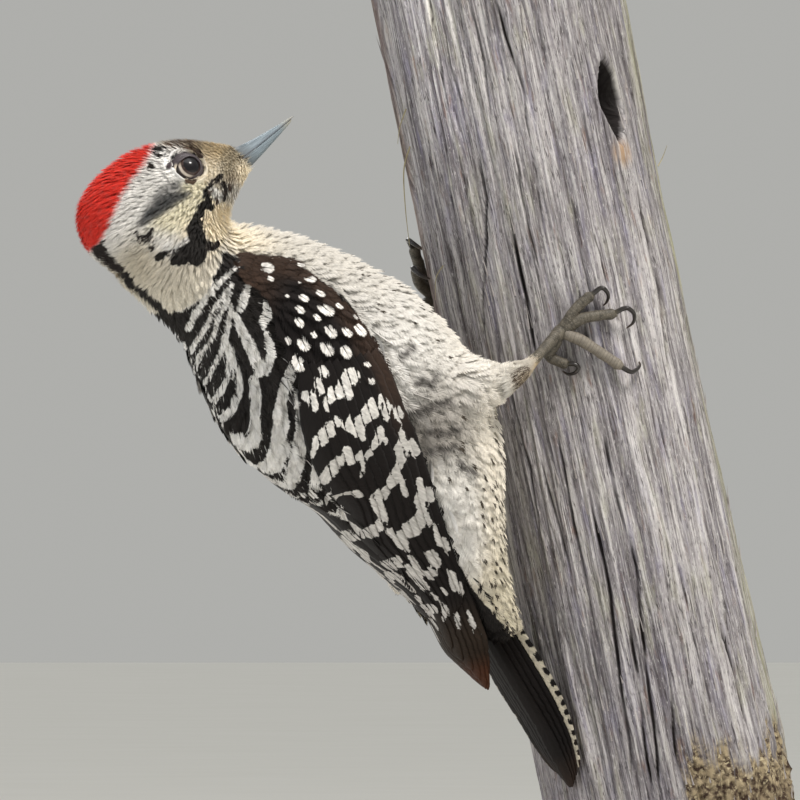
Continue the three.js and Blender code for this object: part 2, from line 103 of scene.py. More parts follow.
def top_face_of_perch():
    """The cut end of the trunk: its middle and its normal."""
    mesh = frame["nodes"]["perch"].data
    faces = [f for f in mesh.polygons if f.normal.z > 0.9 and f.area > 1e-6]
    highest = max(faces, key=lambda f: f.center.z)
    cap = [f for f in faces if f.normal.dot(highest.normal) > 0.99999]
    area = sum(f.area for f in cap)
    middle = sum((f.center * f.area for f in cap), Vector()) / area
    return np.array(middle) / MM, np.array(highest.normal)


cap_middle, UP = top_face_of_perch()
RIGHT = unit(corners_of("wing_right").mean(0) - corners_of("wing_left").mean(0))
OUT = unit(np.cross(RIGHT, UP))
PERCH_AXES = np.stack([OUT, RIGHT, UP])
ORIGIN = cap_middle - UP * TRUNK_ABOVE_FEET


def to_world(points):
    return np.asarray(points) @ PERCH_AXES + ORIGIN


def to_perch(points):
    return (np.asarray(points) - ORIGIN) @ PERCH_AXES.T


print("perch origin", ORIGIN.round(2), "lean", round(math.degrees(math.acos(UP[2])), 2))

# %% Find the head's frame
EYE_BEHIND_BILL = 10.4
EYE_ABOVE_BILL = 3.7
BILL_TIP_AHEAD = 13.6
BILL_TIP_ABOVE = 0.7


def find_head():
    eyes = [to_perch(box_middle(f"eye_{side}")) for side in ("left", "right")]
    middle = (eyes[0] + eyes[1]) / 2
    bill = to_perch(corners_of("bill_upper"))
    reach = np.linalg.norm(bill - middle, axis=1)
    tip = bill[reach > reach.max() - 0.35].mean(0)
    left = unit(eyes[0] - eyes[1])
    level = unit(tip - middle)
    above = np.cross(level, left)
    dip = math.atan2(EYE_ABOVE_BILL - BILL_TIP_ABOVE, EYE_BEHIND_BILL + BILL_TIP_AHEAD)
    forward = unit(math.cos(dip) * level + math.sin(dip) * above)
    crown = np.cross(forward, left)
    origin = middle + EYE_BEHIND_BILL * forward - EYE_ABOVE_BILL * crown
    return np.stack([forward, left, crown]), origin


HEAD_AXES, HEAD_ORIGIN = find_head()


def head_to_perch(points):
    return np.asarray(points) @ HEAD_AXES + HEAD_ORIGIN


def perch_to_head(points):
    return (np.asarray(points) - HEAD_ORIGIN) @ HEAD_AXES.T


print("head origin", HEAD_ORIGIN.round(2), "forward", HEAD_AXES[0].round(3))

# %% [markdown]
# ## The body's own map
#
# Feathers are laid by rule, so we need to say "this far down the body, this far round it". The body is a
# chain of ellipses on a bent line, from the skull to the tips of the folded wings. A station counts along
# that line, and an angle is turned from the middle of the back to the bird's right.

# %% Lay out the body's sections
# out, up, half the depth, half the width
SECTIONS = np.array([
    (92.8, 48.6, 11.4, 10.6),  # skull base
    (90.8, 44.4, 12.6, 11.6),  # nape
    (87.2, 38.7, 10.9, 12.4),  # hind neck
    (80.7, 34.8, 12.5, 14.6),  # neck base
    (73.4, 29.2, 15.9, 18.4),  # shoulders
    (67.2, 22.4, 19.6, 21.6),  # wrists
    (62.4, 16.2, 22.2, 22.8),  # breast
    (56.4, 9.9, 22.6, 22.8),  # mid back
    (50.9, 3.6, 21.8, 22.2),  # belly
    (47.0, -4.3, 19.5, 21.0),  # thighs
    (44.5, -13.1, 15.5, 18.6),  # lower belly
    (41.9, -21.8, 10.9, 14.8),  # vent
    (39.2, -30.0, 7.9, 11.4),  # tail coverts
    (36.2, -37.8, 6.0, 9.2),  # rump end
    (34.6, -44.0, 3.9, 6.6),  # wing points
    (33.4, -49.8, 2.2, 3.4),  # wing tips
])
LAST_STATION = len(SECTIONS) - 1.0


def blend(values, place):
    """Values given at whole numbers, blended smoothly between them."""
    values = np.asarray(values, float)
    place = np.clip(place, 0, len(values) - 1)
    i = np.clip(np.floor(place).astype(int), 0, len(values) - 2)
    share = place - i
    before = values[np.maximum(i - 1, 0)]
    after = values[np.minimum(i + 2, len(values) - 1)]
    here = values[i]
    there = values[i + 1]
    s2 = share * share
    s3 = s2 * share
    return (here * (2 * s3 - 3 * s2 + 1) + (there - before) / 2 * (s3 - 2 * s2 + share)
            + there * (3 * s2 - 2 * s3) + (after - here) / 2 * (s3 - s2))


def spine(station):
    """Middle of a section, and the directions to the head and to the back, in the perch's frame."""
    station = np.atleast_1d(np.asarray(station, float))
    step = 0.6  # long steps, so that neighbouring sections never cross inside the bend of the back
    ahead = np.maximum(station - step, 0)
    behind = np.minimum(station + step, LAST_STATION)
    out = blend(SECTIONS[:, 0], station)
    up = blend(SECTIONS[:, 1], station)
    zero = np.zeros_like(out)
    centre = np.stack([out, zero, up], -1)
    rise_out = blend(SECTIONS[:, 0], ahead) - blend(SECTIONS[:, 0], behind)
    rise_up = blend(SECTIONS[:, 1], ahead) - blend(SECTIONS[:, 1], behind)
    headward = unit(np.stack([rise_out, zero, rise_up], -1))
    back = np.stack([headward[:, 2], zero, -headward[:, 0]], -1)
    return centre, headward, back


def body_point(station, angle, rise=0.0):
    """A place on the body's outline, or a little above (rise > 0) or below it."""
    station, angle, rise = np.broadcast_arrays(*map(np.atleast_1d, (station, angle, rise)))
    shape = station.shape
    station = station.ravel()
    turn = np.radians(angle.ravel())
    centre, _, back = spine(station)
    depth = blend(SECTIONS[:, 2], station) + rise.ravel()
    width = blend(SECTIONS[:, 3], station) + rise.ravel()
    point = centre + back * (depth * np.cos(turn))[:, None]
    point[:, 1] += width * np.sin(turn)
    return point.reshape(shape + (3,))


SPINE_STEPS = np.linspace(0, LAST_STATION, 121)


def lengths_along(line):
    """The length of a line of points, in mm, from its start to each of them."""
    return np.concatenate([[0], np.cumsum(np.linalg.norm(np.diff(line, axis=0), axis=1))])


SPINE_POINTS, _, _ = spine(SPINE_STEPS)
SPINE_LENGTH = lengths_along(SPINE_POINTS)


def ahead_of(points, station):
    """How far places lie to the head's side of a section, in mm."""
    centre, headward, _ = spine(station)
    return ((points - centre) * headward).sum(1)


def body_map(points):
    """Station, angle in degrees, and share of the outline's radius, for points in the perch's frame."""
    station = np.zeros(len(points))
    for first in range(0, len(points), 20000):
        some = points[first:first + 20000]
        away = np.subtract.outer(some[:, 0], SPINE_POINTS[:, 0]) ** 2
        away += np.subtract.outer(some[:, 2], SPINE_POINTS[:, 2]) ** 2
        station[first:first + 20000] = SPINE_STEPS[away.argmin(1)]
    for _ in range(4):
        miss = ahead_of(points, station)
        slope = (ahead_of(points, station + 0.05) - miss) / 0.05
        station = np.clip(station - np.clip(miss / np.maximum(slope, 2.0), -0.5, 0.5), 0, LAST_STATION)
    centre, _, back = spine(station)
    off = points - centre
    high = (off * back).sum(1) / blend(SECTIONS[:, 2], station)
    wide = off[:, 1] / blend(SECTIONS[:, 3], station)
    return station, np.degrees(np.arctan2(wide, high)), np.hypot(wide, high)


def length_at(station):
    return np.interp(station, SPINE_STEPS, SPINE_LENGTH)


def read_table(table, place, column=1):
    """Reads a column of a table whose first column counts up."""
    return np.interp(place, table[:, 0], table[:, column])


def smooth_step(low, high, x):
    share = np.clip((np.asarray(x, float) - low) / (high - low), 0, 1)
    return share * share * (3 - 2 * share)


print("body line is", round(float(SPINE_LENGTH[-1]), 1), "mm long")

# %% [markdown]
# ## Small helpers
#
# A mesh here is made from whole arrays at once, which is far quicker than adding points one by one. Colours
# are written as the hex values of a paint chart and turned to the linear values that light needs.

# %% Make meshes and colours
def linear(hex_colour):
    """An sRGB hex colour as linear red, green and blue."""
    raw = np.array([int(hex_colour[i:i + 2], 16) for i in (1, 3, 5)]) / 255
    return np.where(raw <= 0.04045, raw / 12.92, ((raw + 0.055) / 1.055) ** 2.4)


def rgba(hex_colour):
    return (*linear(hex_colour), 1.0)


def make_mesh(name, points, faces, smooth=True):
    """A mesh object from points in the perch's frame and faces that all have the same number of corners."""
    faces = np.asarray(faces, np.int32)
    mesh = bpy.data.meshes.new(name)
    mesh.vertices.add(len(points))
    mesh.vertices.foreach_set("co", (to_world(points) * MM).astype(np.float32).ravel())
    mesh.loops.add(faces.size)
    mesh.loops.foreach_set("vertex_index", faces.ravel())
    mesh.polygons.add(len(faces))
    mesh.polygons.foreach_set("loop_start", np.arange(len(faces), dtype=np.int32) * faces.shape[1])
    mesh.polygons.foreach_set("use_smooth", np.full(len(faces), smooth))
    mesh.update(calc_edges=True)
    return add_object(name, mesh)


def set_values(piece, name, values):
    """Stores one number, or one colour, for each corner point of a mesh."""
    values = np.asarray(values, np.float32)
    colour = values.ndim == 2
    if colour and values.shape[1] == 3:
        values = np.concatenate([values, np.ones((len(values), 1), np.float32)], 1)
    layer = piece.data.attributes.new(name, "FLOAT_COLOR" if colour else "FLOAT", "POINT")
    layer.data.foreach_set("color" if colour else "value", values.ravel())


def corner_points(piece):
    """The number of the point at each corner of each face."""
    corners = np.zeros(len(piece.data.loops), np.int32)
    piece.data.loops.foreach_get("vertex_index", corners)
    return corners


def set_uv(piece, places):
    """The unwrap of a piece, from one place for each corner of each face."""
    layer = piece.data.uv_layers.new(name="OFBake")
    layer.data.foreach_set("uv", np.asarray(places, np.float32).ravel())


def read_points(piece, what):
    """Where a mesh's points are, or which way they face, in the world."""
    read = np.zeros(len(piece.data.vertices) * 3, np.float32)
    piece.data.vertices.foreach_get(what, read)
    return read.reshape(-1, 3).astype(float)


def get_points(piece):
    return to_perch(read_points(piece, "co") / MM)


def get_normals(piece):
    return read_points(piece, "normal") @ PERCH_AXES.T


def add_object(name, data):
    """Puts a mesh, a lamp or a camera into the scene."""
    item = bpy.data.objects.new(name, data)
    bpy.context.scene.collection.objects.link(item)
    return item


def finish_piece(piece, body_slot, *nodes):
    """The calls that every piece of this model needs: what it rides on and which solids it replaces. Its
    body_slot, the finish it is painted like, is not used.
    """
    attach(piece, "root")
    if nodes:
        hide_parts(*nodes)
    triangles = sum(len(p.vertices) - 2 for p in piece.data.polygons)
    print(f"{piece.name}: {triangles} triangles")
    return piece


def evaluated(piece):
    """Bakes a piece's modifiers into its mesh and removes them."""
    graph = bpy.context.evaluated_depsgraph_get()
    mesh = bpy.data.meshes.new_from_object(piece.evaluated_get(graph))
    piece.modifiers.clear()
    piece.data = mesh
    return piece


# %% [markdown]
# ## The perch's plain shape
#
# The feet have to land on the wood, so the trunk's outline is stated first, as a radius for every turn and
# height. It repeats the rule that the solid was built with: a round log with shallow flutes and one knot.

# %% Restate the trunk's outline
TRUNK_RADIUS = 23.3
TRUNK_TOP = 83.0
TRUNK_BOTTOM = -83.5
KNOT_TURN, KNOT_UP, KNOT_SPREAD, KNOT_HEIGHT = 93.0, -72.0, 15.0, 8.0


def trunk_radius(turn_deg, up):
    turn = np.radians(turn_deg)
    flutes = 0.28 * np.cos(3 * turn + 0.8 + up * 0.012) + 0.16 * np.cos(7 * turn - 1.1 - up * 0.02)
    knot = ((turn_deg - KNOT_TURN) / KNOT_SPREAD) ** 2 + ((up - KNOT_UP) / KNOT_HEIGHT) ** 2
    return TRUNK_RADIUS + flutes + 1.1 * np.exp(-knot)


def on_trunk(turn_deg, up, clear):
    radius = trunk_radius(turn_deg, up) + clear
    turn = np.radians(turn_deg)
    return np.stack(np.broadcast_arrays(radius * np.cos(turn), radius * np.sin(turn), up), -1).astype(float)


# %% [markdown]
# ## The skin
#
# Under its feathers a bird is one smooth body. The solids of the head, neck, trunk and thighs are joined,
# and a voxel remesh closes the thin cuts between them. The skin is then smoothed and drawn in by the depth
# of the coat, which is deep on the breast and thin on the face, so that the feather tips end at the outline.

# %% Join the flesh and close its cuts
FLESH = ["head", "neck", "torso", "thigh_right", "thigh_left"]
SKIN_VOXEL = 0.55


CUT_CLOSING = 0.35  # mm that the flesh is swollen by, so that its cuts close


def joined_flesh():
    joined = bmesh.new()
    for node in FLESH:
        joined.from_mesh(frame["nodes"][node].data)
    bmesh.ops.remove_doubles(joined, verts=joined.verts, dist=1e-6)
    mesh = bpy.data.meshes.new("skin")
    joined.to_mesh(mesh)
    joined.free()
    return add_object("skin", mesh)


def soften(piece, steps):
    smoothing = piece.modifiers.new("soften", "SMOOTH")
    smoothing.factor = 0.5
    smoothing.iterations = steps
    return evaluated(piece)


def remeshed(piece):
    swell = piece.modifiers.new("swell", "DISPLACE")
    swell.mid_level = 0.0
    swell.strength = CUT_CLOSING * MM
    voxels = piece.modifiers.new("voxels", "REMESH")
    voxels.mode = "VOXEL"
    voxels.voxel_size = SKIN_VOXEL * MM
    return soften(piece, 14)


skin = remeshed(joined_flesh())
print("skin has", len(skin.data.polygons), "faces")


# %% Draw the skin in by the depth of the coat
LEGS = {"right": 1, "left": -1}


def leg_line(side):
    """Middle line of a feathered thigh, from its solid: knee end, middle and ankle end."""
    points = to_perch(corners_of(f"thigh_{side}"))
    ankle = to_perch(box_middle(f"tarsus_{side}"))
    reach = np.linalg.norm(points - ankle, axis=1)
    near = points[reach < np.percentile(reach, 12)].mean(0)
    far = points[reach > np.percentile(reach, 70)].mean(0)
    return far, near


THIGHS = {side: leg_line(side) for side in LEGS}


# The ankle in the perch's frame, and the palm's turn and height on the trunk.
ANKLES = {"right": np.array([34.6, 22.6, 7.5]), "left": np.array([33.0, -24.6, 18.6])}
PALMS = {"right": (45.5, 13.5), "left": (-61, 24.5)}
# mm past the ankle, and radius
CUFF = np.array([(-11, 4.2), (-4, 3.4), (0, 2.55), (3.6, 1.8), (7, 1.22), (9.5, 1.05)])


def curve_through(points, count):
    """Evenly spaced points on a smooth curve, and its length."""
    points = np.asarray(points, float)
    dense = np.linspace(0, len(points) - 1, 400)
    line = np.stack([blend(points[:, k], dense) for k in range(3)], -1)
    length = lengths_along(line)
    even = np.linspace(0, length[-1], count)
    return np.stack([np.interp(even, length, line[:, k]) for k in range(3)], -1), length[-1]


def shank_line(side):
    """Middle line from inside the thigh to the palm, and each point's mm past the ankle."""
    knee, _ = THIGHS[side]
    ankle, palm = ANKLES[side], on_trunk(*PALMS[side], 1.9)
    back = unit(knee - ankle)
    sag = np.array([0.5, 0, -0.8])
    places = [ankle + back * 12, ankle + back * 5, ankle, ankle * 0.75 + palm * 0.25 + sag,
              ankle * 0.5 + palm * 0.5 + sag, palm * 0.8 + ankle * 0.2 + sag * 0.3, palm]
    path, _ = curve_through(places, 240)
    length = lengths_along(path)
    at_ankle = length[np.linalg.norm(path - ankle, axis=1).argmin()]
    return path, length - at_ankle


SHANKS = {side: shank_line(side) for side in LEGS}


def near_shank(points, side):
    """The nearest place on the shank's line: its index, and the distance to it."""
    path, _ = SHANKS[side]
    away = np.linalg.norm(points[:, None] - path[None, ::2], axis=2)
    nearest = away.argmin(1)
    return nearest * 2, away[np.arange(len(points)), nearest]


def along_segment(points, start, end):
    """Share along a segment, distance from it, and the foot of the perpendicular."""
    line = end - start
    share = np.clip(((points - start) @ line) / (line @ line), 0, 1)
    foot = start + share[:, None] * line
    return share, np.linalg.norm(points - foot, axis=1), foot


def on_thigh(points, station_radius):
    """1 on the feathered thighs, 0 on the body, with the leg's side and the share down it."""
    weight = np.zeros(len(points))
    share = np.zeros(len(points))
    for side, sign in LEGS.items():
        knee, ankle = THIGHS[side]
        down, away, _ = along_segment(points, knee, ankle)
        near = smooth_step(9.5, 7.5, away) * smooth_step(1.0, 1.12, station_radius)
        near = near * (points[:, 1] * sign > 6)
        share = np.where(near > weight, down, share)
        weight = np.maximum(weight, near)
    return weight, share


def head_weight(points, station):
    """1 on the head, falling to 0 down the neck."""
    local = perch_to_head(points)
    return smooth_step(2.2, 1.0, station) * smooth_step(-37, -30, local[:, 0])


def coat_depth(points):
    """How far the feather tips stand above the skin, in mm."""
    local = perch_to_head(points)
    station, _, radius = body_map(points)
    head = head_weight(points, station)
    face = smooth_step(-14, 0, local[:, 0])
    on_head = 1.25 - 0.75 * face
    on_body = 1.9 - 0.9 * smooth_step(9.5, 13.4, station)
    thigh, down = on_thigh(points, radius)
    depth = on_head * head + on_body * (1 - head)
    return depth * (1 - thigh) + thigh * (1.5 - 0.9 * down)


skin_points = get_points(skin)
skin_normals = get_normals(skin)
_, _, skin_radius = body_map(skin_points)
skin_thigh, skin_down = on_thigh(skin_points, skin_radius)
skin_depth = coat_depth(skin_points) + CUT_CLOSING
inner = skin_points - skin_normals * skin_depth[:, None]
for side, sign in LEGS.items():
    leg = np.flatnonzero((skin_thigh > 0.3) & (skin_points[:, 1] * sign > 0) & (skin_down > 0.3))
    path, past = SHANKS[side]
    at, away = near_shank(inner[leg], side)
    room = np.maximum(read_table(CUFF, past[at]) - 1.15, 0.35)
    share = smooth_step(0.3, 0.75, skin_down[leg]) * skin_thigh[leg]
    squeeze = 1 - share * (1 - np.minimum(room / away, 1))
    inner[leg] = path[at] + (inner[leg] - path[at]) * squeeze[:, None]
skin.data.vertices.foreach_set("co", (to_world(inner) * MM).astype(np.float32).ravel())
skin.data.update()
soften(skin, 6)
print("coat is", skin_depth.min().round(2), "to", skin_depth.max().round(2), "mm deep")

# %% [markdown]
# ## One unwrap for skin and coat
#
# Every face gets a place on a flat unwrap, where its colours can be kept as a picture. The body is
# rolled out by angle and length, the head by its own angle and length, and each thigh along its bone. A
# feather takes one tiny patch at the place where it grows.

# %% Unwrap places on the body
BODY_CHART = (0.01, 0.01, 0.60, 0.98)  # left, bottom, width, height
HEAD_CHART = (0.66, 0.01, 0.31, 0.46)
THIGH_CHARTS = {"right": (0.66, 0.52, 0.31, 0.20), "left": (0.66, 0.77, 0.31, 0.20)}
TUFT_PATCH = 0.003


def in_chart(chart, across, along):
    left, bottom, width, height = chart
    return np.stack([left + width * across, bottom + height * along], -1)


def chart_of(points):
    """0 on the body, 1 on the head, 2 and 3 on the right and left thighs."""
    station, _, radius = body_map(points)
    thigh, _ = on_thigh(points, radius)
    chart = np.where(head_weight(points, station) > 0.5, 1, 0)
    chart = np.where((thigh > 0.5) & (points[:, 1] > 0), 2, chart)
    return np.where((thigh > 0.5) & (points[:, 1] <= 0), 3, chart)


def unwrap(points, chart):
    """Place on the unwrap, and the turn round the chart that a seam must not cut."""
    station, angle, _ = body_map(points)
    local = perch_to_head(points)
    head_turn = np.degrees(np.arctan2(-local[:, 1], local[:, 2] - 1.5))
    turn = np.where(chart == 1, head_turn, angle)
    along = np.where(chart == 1, (local[:, 0] + 36) / 40, length_at(station) / SPINE_LENGTH[-1])
    for number, side in ((2, "right"), (3, "left")):
        knee, ankle = THIGHS[side]
        down, _, foot = along_segment(points, knee, ankle)
        off = points - foot
        here = chart == number
        turn = np.where(here, np.degrees(np.arctan2(off[:, 2], off[:, 0])), turn)
        along = np.where(here, down, along)
    return turn, along


def place_on_unwrap(turn, along, chart):
    across = (turn + 180) / 360
    charts = [BODY_CHART, HEAD_CHART, THIGH_CHARTS["right"], THIGH_CHARTS["left"]]
    places = np.stack([in_chart(c, across, along) for c in charts])
    return places[chart, np.arange(len(chart))]


def unwrap_skin(piece):
    points = get_points(piece)
    faces = corner_points(piece).reshape(-1, 4)
    middle = points[faces].mean(1)
    chart = np.repeat(chart_of(middle), 4)
    turn, along = unwrap(points[faces.ravel()], chart)
    turn = turn.reshape(-1, 4)
    cut = (turn.max(1) - turn.min(1)) > 180
    turn = np.where(cut[:, None] & (turn < 0), turn + 360, turn).ravel()
    set_uv(piece, place_on_unwrap(turn, along, chart))


unwrap_skin(skin)
print("skin unwrapped in", len(THIGH_CHARTS) + 2, "charts")

# %% [markdown]
# ## The markings
#
# A male ladder-back wears a red crown, a black and white face, a back barred like a ladder, and pale
# underparts flecked with black. Each mark is drawn once, as a few strokes or a rule on the body's map. The
# same functions colour the skin and every feather, so that both agree wherever a gap shows. A mark is kept
# as a distance in mm: above zero is inside the dark, so its edge stays crisp between two points.

# %% Name the colours of the plumage
CREAM = linear("#d1cdc5")
WHITE = linear("#e6e4e0")
BUFF = linear("#f0e5cf")
TAN = linear("#c8b48d")
# The throat colour below is lighter than the bird's own: painted light on the throat, which faces down.
THROAT_WITH_PAINTED_LIGHT = linear("#fff3d9")
CHEEK = linear("#f0ead2")
FOREHEAD = linear("#9a8a70")
BILL_BASE = linear("#b0a48b")
MOUSTACHE = linear("#a0937f")
NECK_GREY = linear("#c2b8a2")
NECK_SIDE = linear("#d6cfc0")
# The belly colour below is lighter than the bird's own: painted light against the shade the body throws on the
# belly.
BELLY_WITH_PAINTED_LIGHT = linear("#f6efe2")
# The flank colour below is partly the flank's own grey and partly painted shade, where the flank lies under
# the wing.
FLANK = linear("#8f8a84")
VENT = linear("#cbc3ad")
FLANK_BAR = linear("#45413e")
CROWN_RED = linear("#d92f20")
BLACK = linear("#17120f")
BROWN_BLACK = linear("#211915")
BROWN = linear("#43342a")
SLATE = linear("#3a3b3f")
SMUDGE = linear("#424344")
GREY_BROWN = linear("#6b6252")
LID_GREY = linear("#574c50")
# The brow colour below is whiter than the other whites: painted light on the white stripe over the eye, which
# lies in shade.
BROW = linear("#fffdfa")
WARM_BROWN = linear("#554335")

# %% Draw the face
# (forward, up, half-width) along each stroke, in the head's frame, the same on both sides.
FACE_STROKES = [
    (LID_GREY, [(-10.3, 6.4, 0.3), (-10.8, 6.2, 0.4)]),
    (WARM_BROWN, [(-9.6, 2.0, 0.3), (-8.8, 1.5, 0.52), (-8.0, 1.5, 0.3)]),
    (SLATE, [(-9.4, 7.1, 0.2), (-7.7, 6.6, 0.3), (-5.9, 5.3, 0.35)]),
    (BROWN, [(-4.9, 5.4, 0.40), (-4.8, 4.4, 0.40)]),
    (WARM_BROWN, [(-7.4, 8.7, 0.45), (-6.0, 7.7, 0.50), (-4.8, 6.0, 0.42)]),
    (BLACK, [(-9.3, 9.8, 0.36), (-10.4, 10.0, 0.50)]),
    (BLACK, [(-11.3, 10.2, 0.36), (-11.8, 10.0, 0.26)]),
    (WARM_BROWN, [(-8.6, 9.8, 0.5), (-6.4, 9.0, 0.5), (-4.4, 7.6, 0.4)]),
    (BROWN_BLACK, [(-10.9, 8.8, 0.32), (-11.4, 8.8, 0.28)]),
    (BROWN_BLACK, [(-13.2, 8.2, 0.36), (-13.8, 8.0, 0.28)]),
    (BROWN_BLACK, [(-4.2, -0.8, 0.40), (-5.1, -1.0, 0.42)]),
    (BROWN_BLACK, [(-6.1, -1.0, 0.40), (-7.0, -1.3, 0.32)]),
    (BROWN_BLACK, [(-4.4, -2.0, 0.30), (-4.6, -2.9, 0.42), (-4.6, -3.4, 0.36)]),
    (BROWN_BLACK, [(-5.3, -4.1, 0.40), (-5.9, -4.6, 0.34)]), (BROWN, [(-7.0, -2.0, 0.26), (-7.9, -2.0, 0.30)]),
    (BROWN, [(-3.6, -3.2, 0.22), (-4.0, -4.0, 0.24)]), (BROWN, [(-6.9, -3.9, 0.20), (-7.3, -4.5, 0.22)]),
    (BLACK, [(-8.0, -1.9, 0.5), (-8.3, -3.3, 0.5), (-9.2, -3.4, 0.5)]),
    (BLACK, [(-9.8, -3.2, 0.6), (-11.0, -4.2, 0.7), (-12.3, -5.1, 0.95), (-13.6, -6.4, 1.5),
             (-14.4, -8.4, 1.8)]),
    (BLACK, [(-9.4, -3.3, 0.56), (-8.8, -4.4, 0.56)]),
    (BLACK, [(-14.4, -8.4, 1.8), (-16.1, -9.7, 2.2), (-16.9, -9.1, 1.95), (-19.8, -8.7, 0.95)]),
    (BLACK, [(-19.2, -7.8, 0.7), (-20.4, -6.9, 0.42), (-21.8, -6.6, 0.75)]),
    (BLACK, [(-12.6, -6.3, 0.55), (-13.2, -7.6, 0.5)]),
    (BROWN_BLACK, [(-13.7, -9.8, 0.75), (-12.2, -10.9, 0.67), (-10.3, -11.1, 0.5), (-9.5, -12.4, 0.36)]),
    (BROWN_BLACK, [(-22.8, -0.7, 0.36), (-22.6, -2.3, 0.6), (-21.2, -2.3, 0.36), (-20.1, -1.8, 0.34)]),
    (BROWN_BLACK, [(-20.4, -1.9, 0.34), (-21.3, -3.1, 0.4), (-21.9, -4.4, 0.48)]),
]
# White flecks inside the dark, and the slate patch behind the eye, which has no hard edge.
FACE_FLECKS = [
    [(-6.8, -1.6, 0.32), (-6.1, -4.1, 0.28)], [(-7.0, -2.8, 0.28), (-6.8, -4.1, 0.24)],
    [(-17.3, -7.1, 0.42), (-15.4, -7.0, 0.34)], [(-20.4, -6.3, 0.4), (-19.1, -5.8, 0.3)],
    [(-19.1, -7.4, 0.34), (-18.1, -6.9, 0.26)],
]
FACE_SMUDGES = [
    (0.92, [(-10.9, 0.0, 0.45), (-13.2, 0.8, 1.0), (-15.5, 1.0, 1.4), (-18.1, 0.8, 1.1), (-21.1, 0.5, 0.4)]),
    (0.62, [(-11.6, 2.4, 0.6), (-13.7, 3.0, 0.6), (-16.1, 2.8, 0.5)]),
    (0.85, [(-12.1, 0.3, 0.3), (-14.4, 1.2, 0.5), (-16.5, 0.9, 0.6), (-19.2, 0.9, 0.5)]),
    (0.42, [(-5.6, -1.6, 1.0), (-5.4, -3.6, 1.0)]),
]
CROWN_EDGE = np.array([(-36, 0.6), (-31, 1.9), (-29.1, 2.0), (-26.7, 3.3), (-24.1, 4.8), (-20.9, 6.9),
                       (-17.7, 8.1), (-13.9, 9.4), (-10.9, 11.0), (-9.9, 14.0)])
# (forward, up, reach, colour) of the pale ground between the dark marks.
FACE_GROUNDS = [
    (-1.0, 4.0, 1.8, TAN), (-2.6, 4.3, 1.6, TAN), (-4.5, 2.4, 2.0, BUFF), (-5.4, 0.6, 1.8, BUFF),
    (-2.0, -0.6, 1.1, BILL_BASE), (-0.4, 1.2, 1.3, BILL_BASE), (-2.3, -2.2, 1.0, MOUSTACHE),
    (-0.2, -3.0, 1.6, THROAT_WITH_PAINTED_LIGHT), (-4.1, -5.1, 1.6, CREAM), (-8.2, -6.8, 3.0, THROAT_WITH_PAINTED_LIGHT), (-10.7, -8.4, 2.6, THROAT_WITH_PAINTED_LIGHT),
    (-8.5, -10.5, 4.0, THROAT_WITH_PAINTED_LIGHT), (-8.6, -0.8, 1.4, CHEEK), (-12.0, -2.1, 1.6, CHEEK), (-17.4, -2.0, 1.8, CHEEK),
    (-8.0, 7.9, 1.2, BROW), (-10.4, 7.6, 1.3, BROW), (-12.4, 6.2, 1.6, BROW), (-14.0, 5.6, 2.4, WHITE),
    (-20.0, 4.4, 3.5, WHITE), (-19.7, -4.4, 1.8, WHITE),
    (-26.0, 0.5, 4.0, WHITE), (-25.0, -6.0, 5.0, NECK_SIDE), (-26.0, -4.6, 3.0, NECK_GREY),
    (-16.0, -13.5, 4.0, NECK_SIDE), (-6.5, 9.2, 1.6, FOREHEAD), (-3.2, 6.2, 1.5, FOREHEAD),
]


def stroke_inside(forward, up, stroke):
    """Distance inside a stroke of changing width, in mm, below zero outside it."""
    inside = np.full(len(forward), -99.0)
    for (a0, b0, w0), (a1, b1, w1) in zip(stroke, stroke[1:]):
        da, db = a1 - a0, b1 - b0
        share = np.clip(((forward - a0) * da + (up - b0) * db) / (da * da + db * db + 1e-9), 0, 1)
        away = np.hypot(forward - a0 - share * da, up - b0 - share * db)
        inside = np.maximum(inside, w0 + (w1 - w0) * share - away)
    return inside


def side_view(local):
    """The head seen from its side and a little from ahead, as its marks were set down."""
    return 0.97 * local[:, 0] + 0.242 * np.abs(local[:, 1]), local[:, 2]


def face_marks(points):
    """Ground colour, dark colour and distance inside the dark, on the head and upper neck."""
    local = perch_to_head(points)
    forward, up = side_view(local)
    total = np.full(len(points), 1e-6)
    ground = np.outer(total, NECK_SIDE)
    for a, b, reach, colour in FACE_GROUNDS:
        weight = np.exp(-((forward - a) ** 2 + (up - b) ** 2) / reach ** 2) * 4 / reach
        ground += weight[:, None] * colour
        total += weight
    ground /= total[:, None]
    dark = np.tile(BLACK, (len(points), 1))
    inside = np.full(len(points), -9.0)
    for colour, stroke in FACE_STROKES:
        here = stroke_inside(forward, up, stroke)
        dark = np.where((here > inside)[:, None], colour, dark)
        inside = np.maximum(inside, here)
    for strength, stroke in FACE_SMUDGES:
        soft = strength * smooth_step(-0.9, 0.5, stroke_inside(forward, up, stroke))[:, None]
        ground = ground * (1 - soft) + SMUDGE * soft
    for fleck in FACE_FLECKS:
        white = stroke_inside(forward, up, fleck)
        inside = np.minimum(inside, -white)
        ground = np.where((white > -0.3)[:, None], WHITE, ground)
    crown = np.minimum(up - read_table(CROWN_EDGE, forward), (-9.9 - forward) * 1.2)
    red = crown > 0
    ground = np.where(red[:, None], CROWN_RED, ground)
    inside = np.where(red & (inside < crown), -1.0, inside)
    return ground, dark, inside, crown


# %% Draw the back, the neck and the underparts
# station, angle and half-width in degrees of the black stripe down the hind neck
HIND_NECK = np.array([(-0.5, -14, 15), (0.5, -11, 11), (1.2, -9, 8.5), (2.0, -6, 8.5), (2.6, -3, 6.5)])
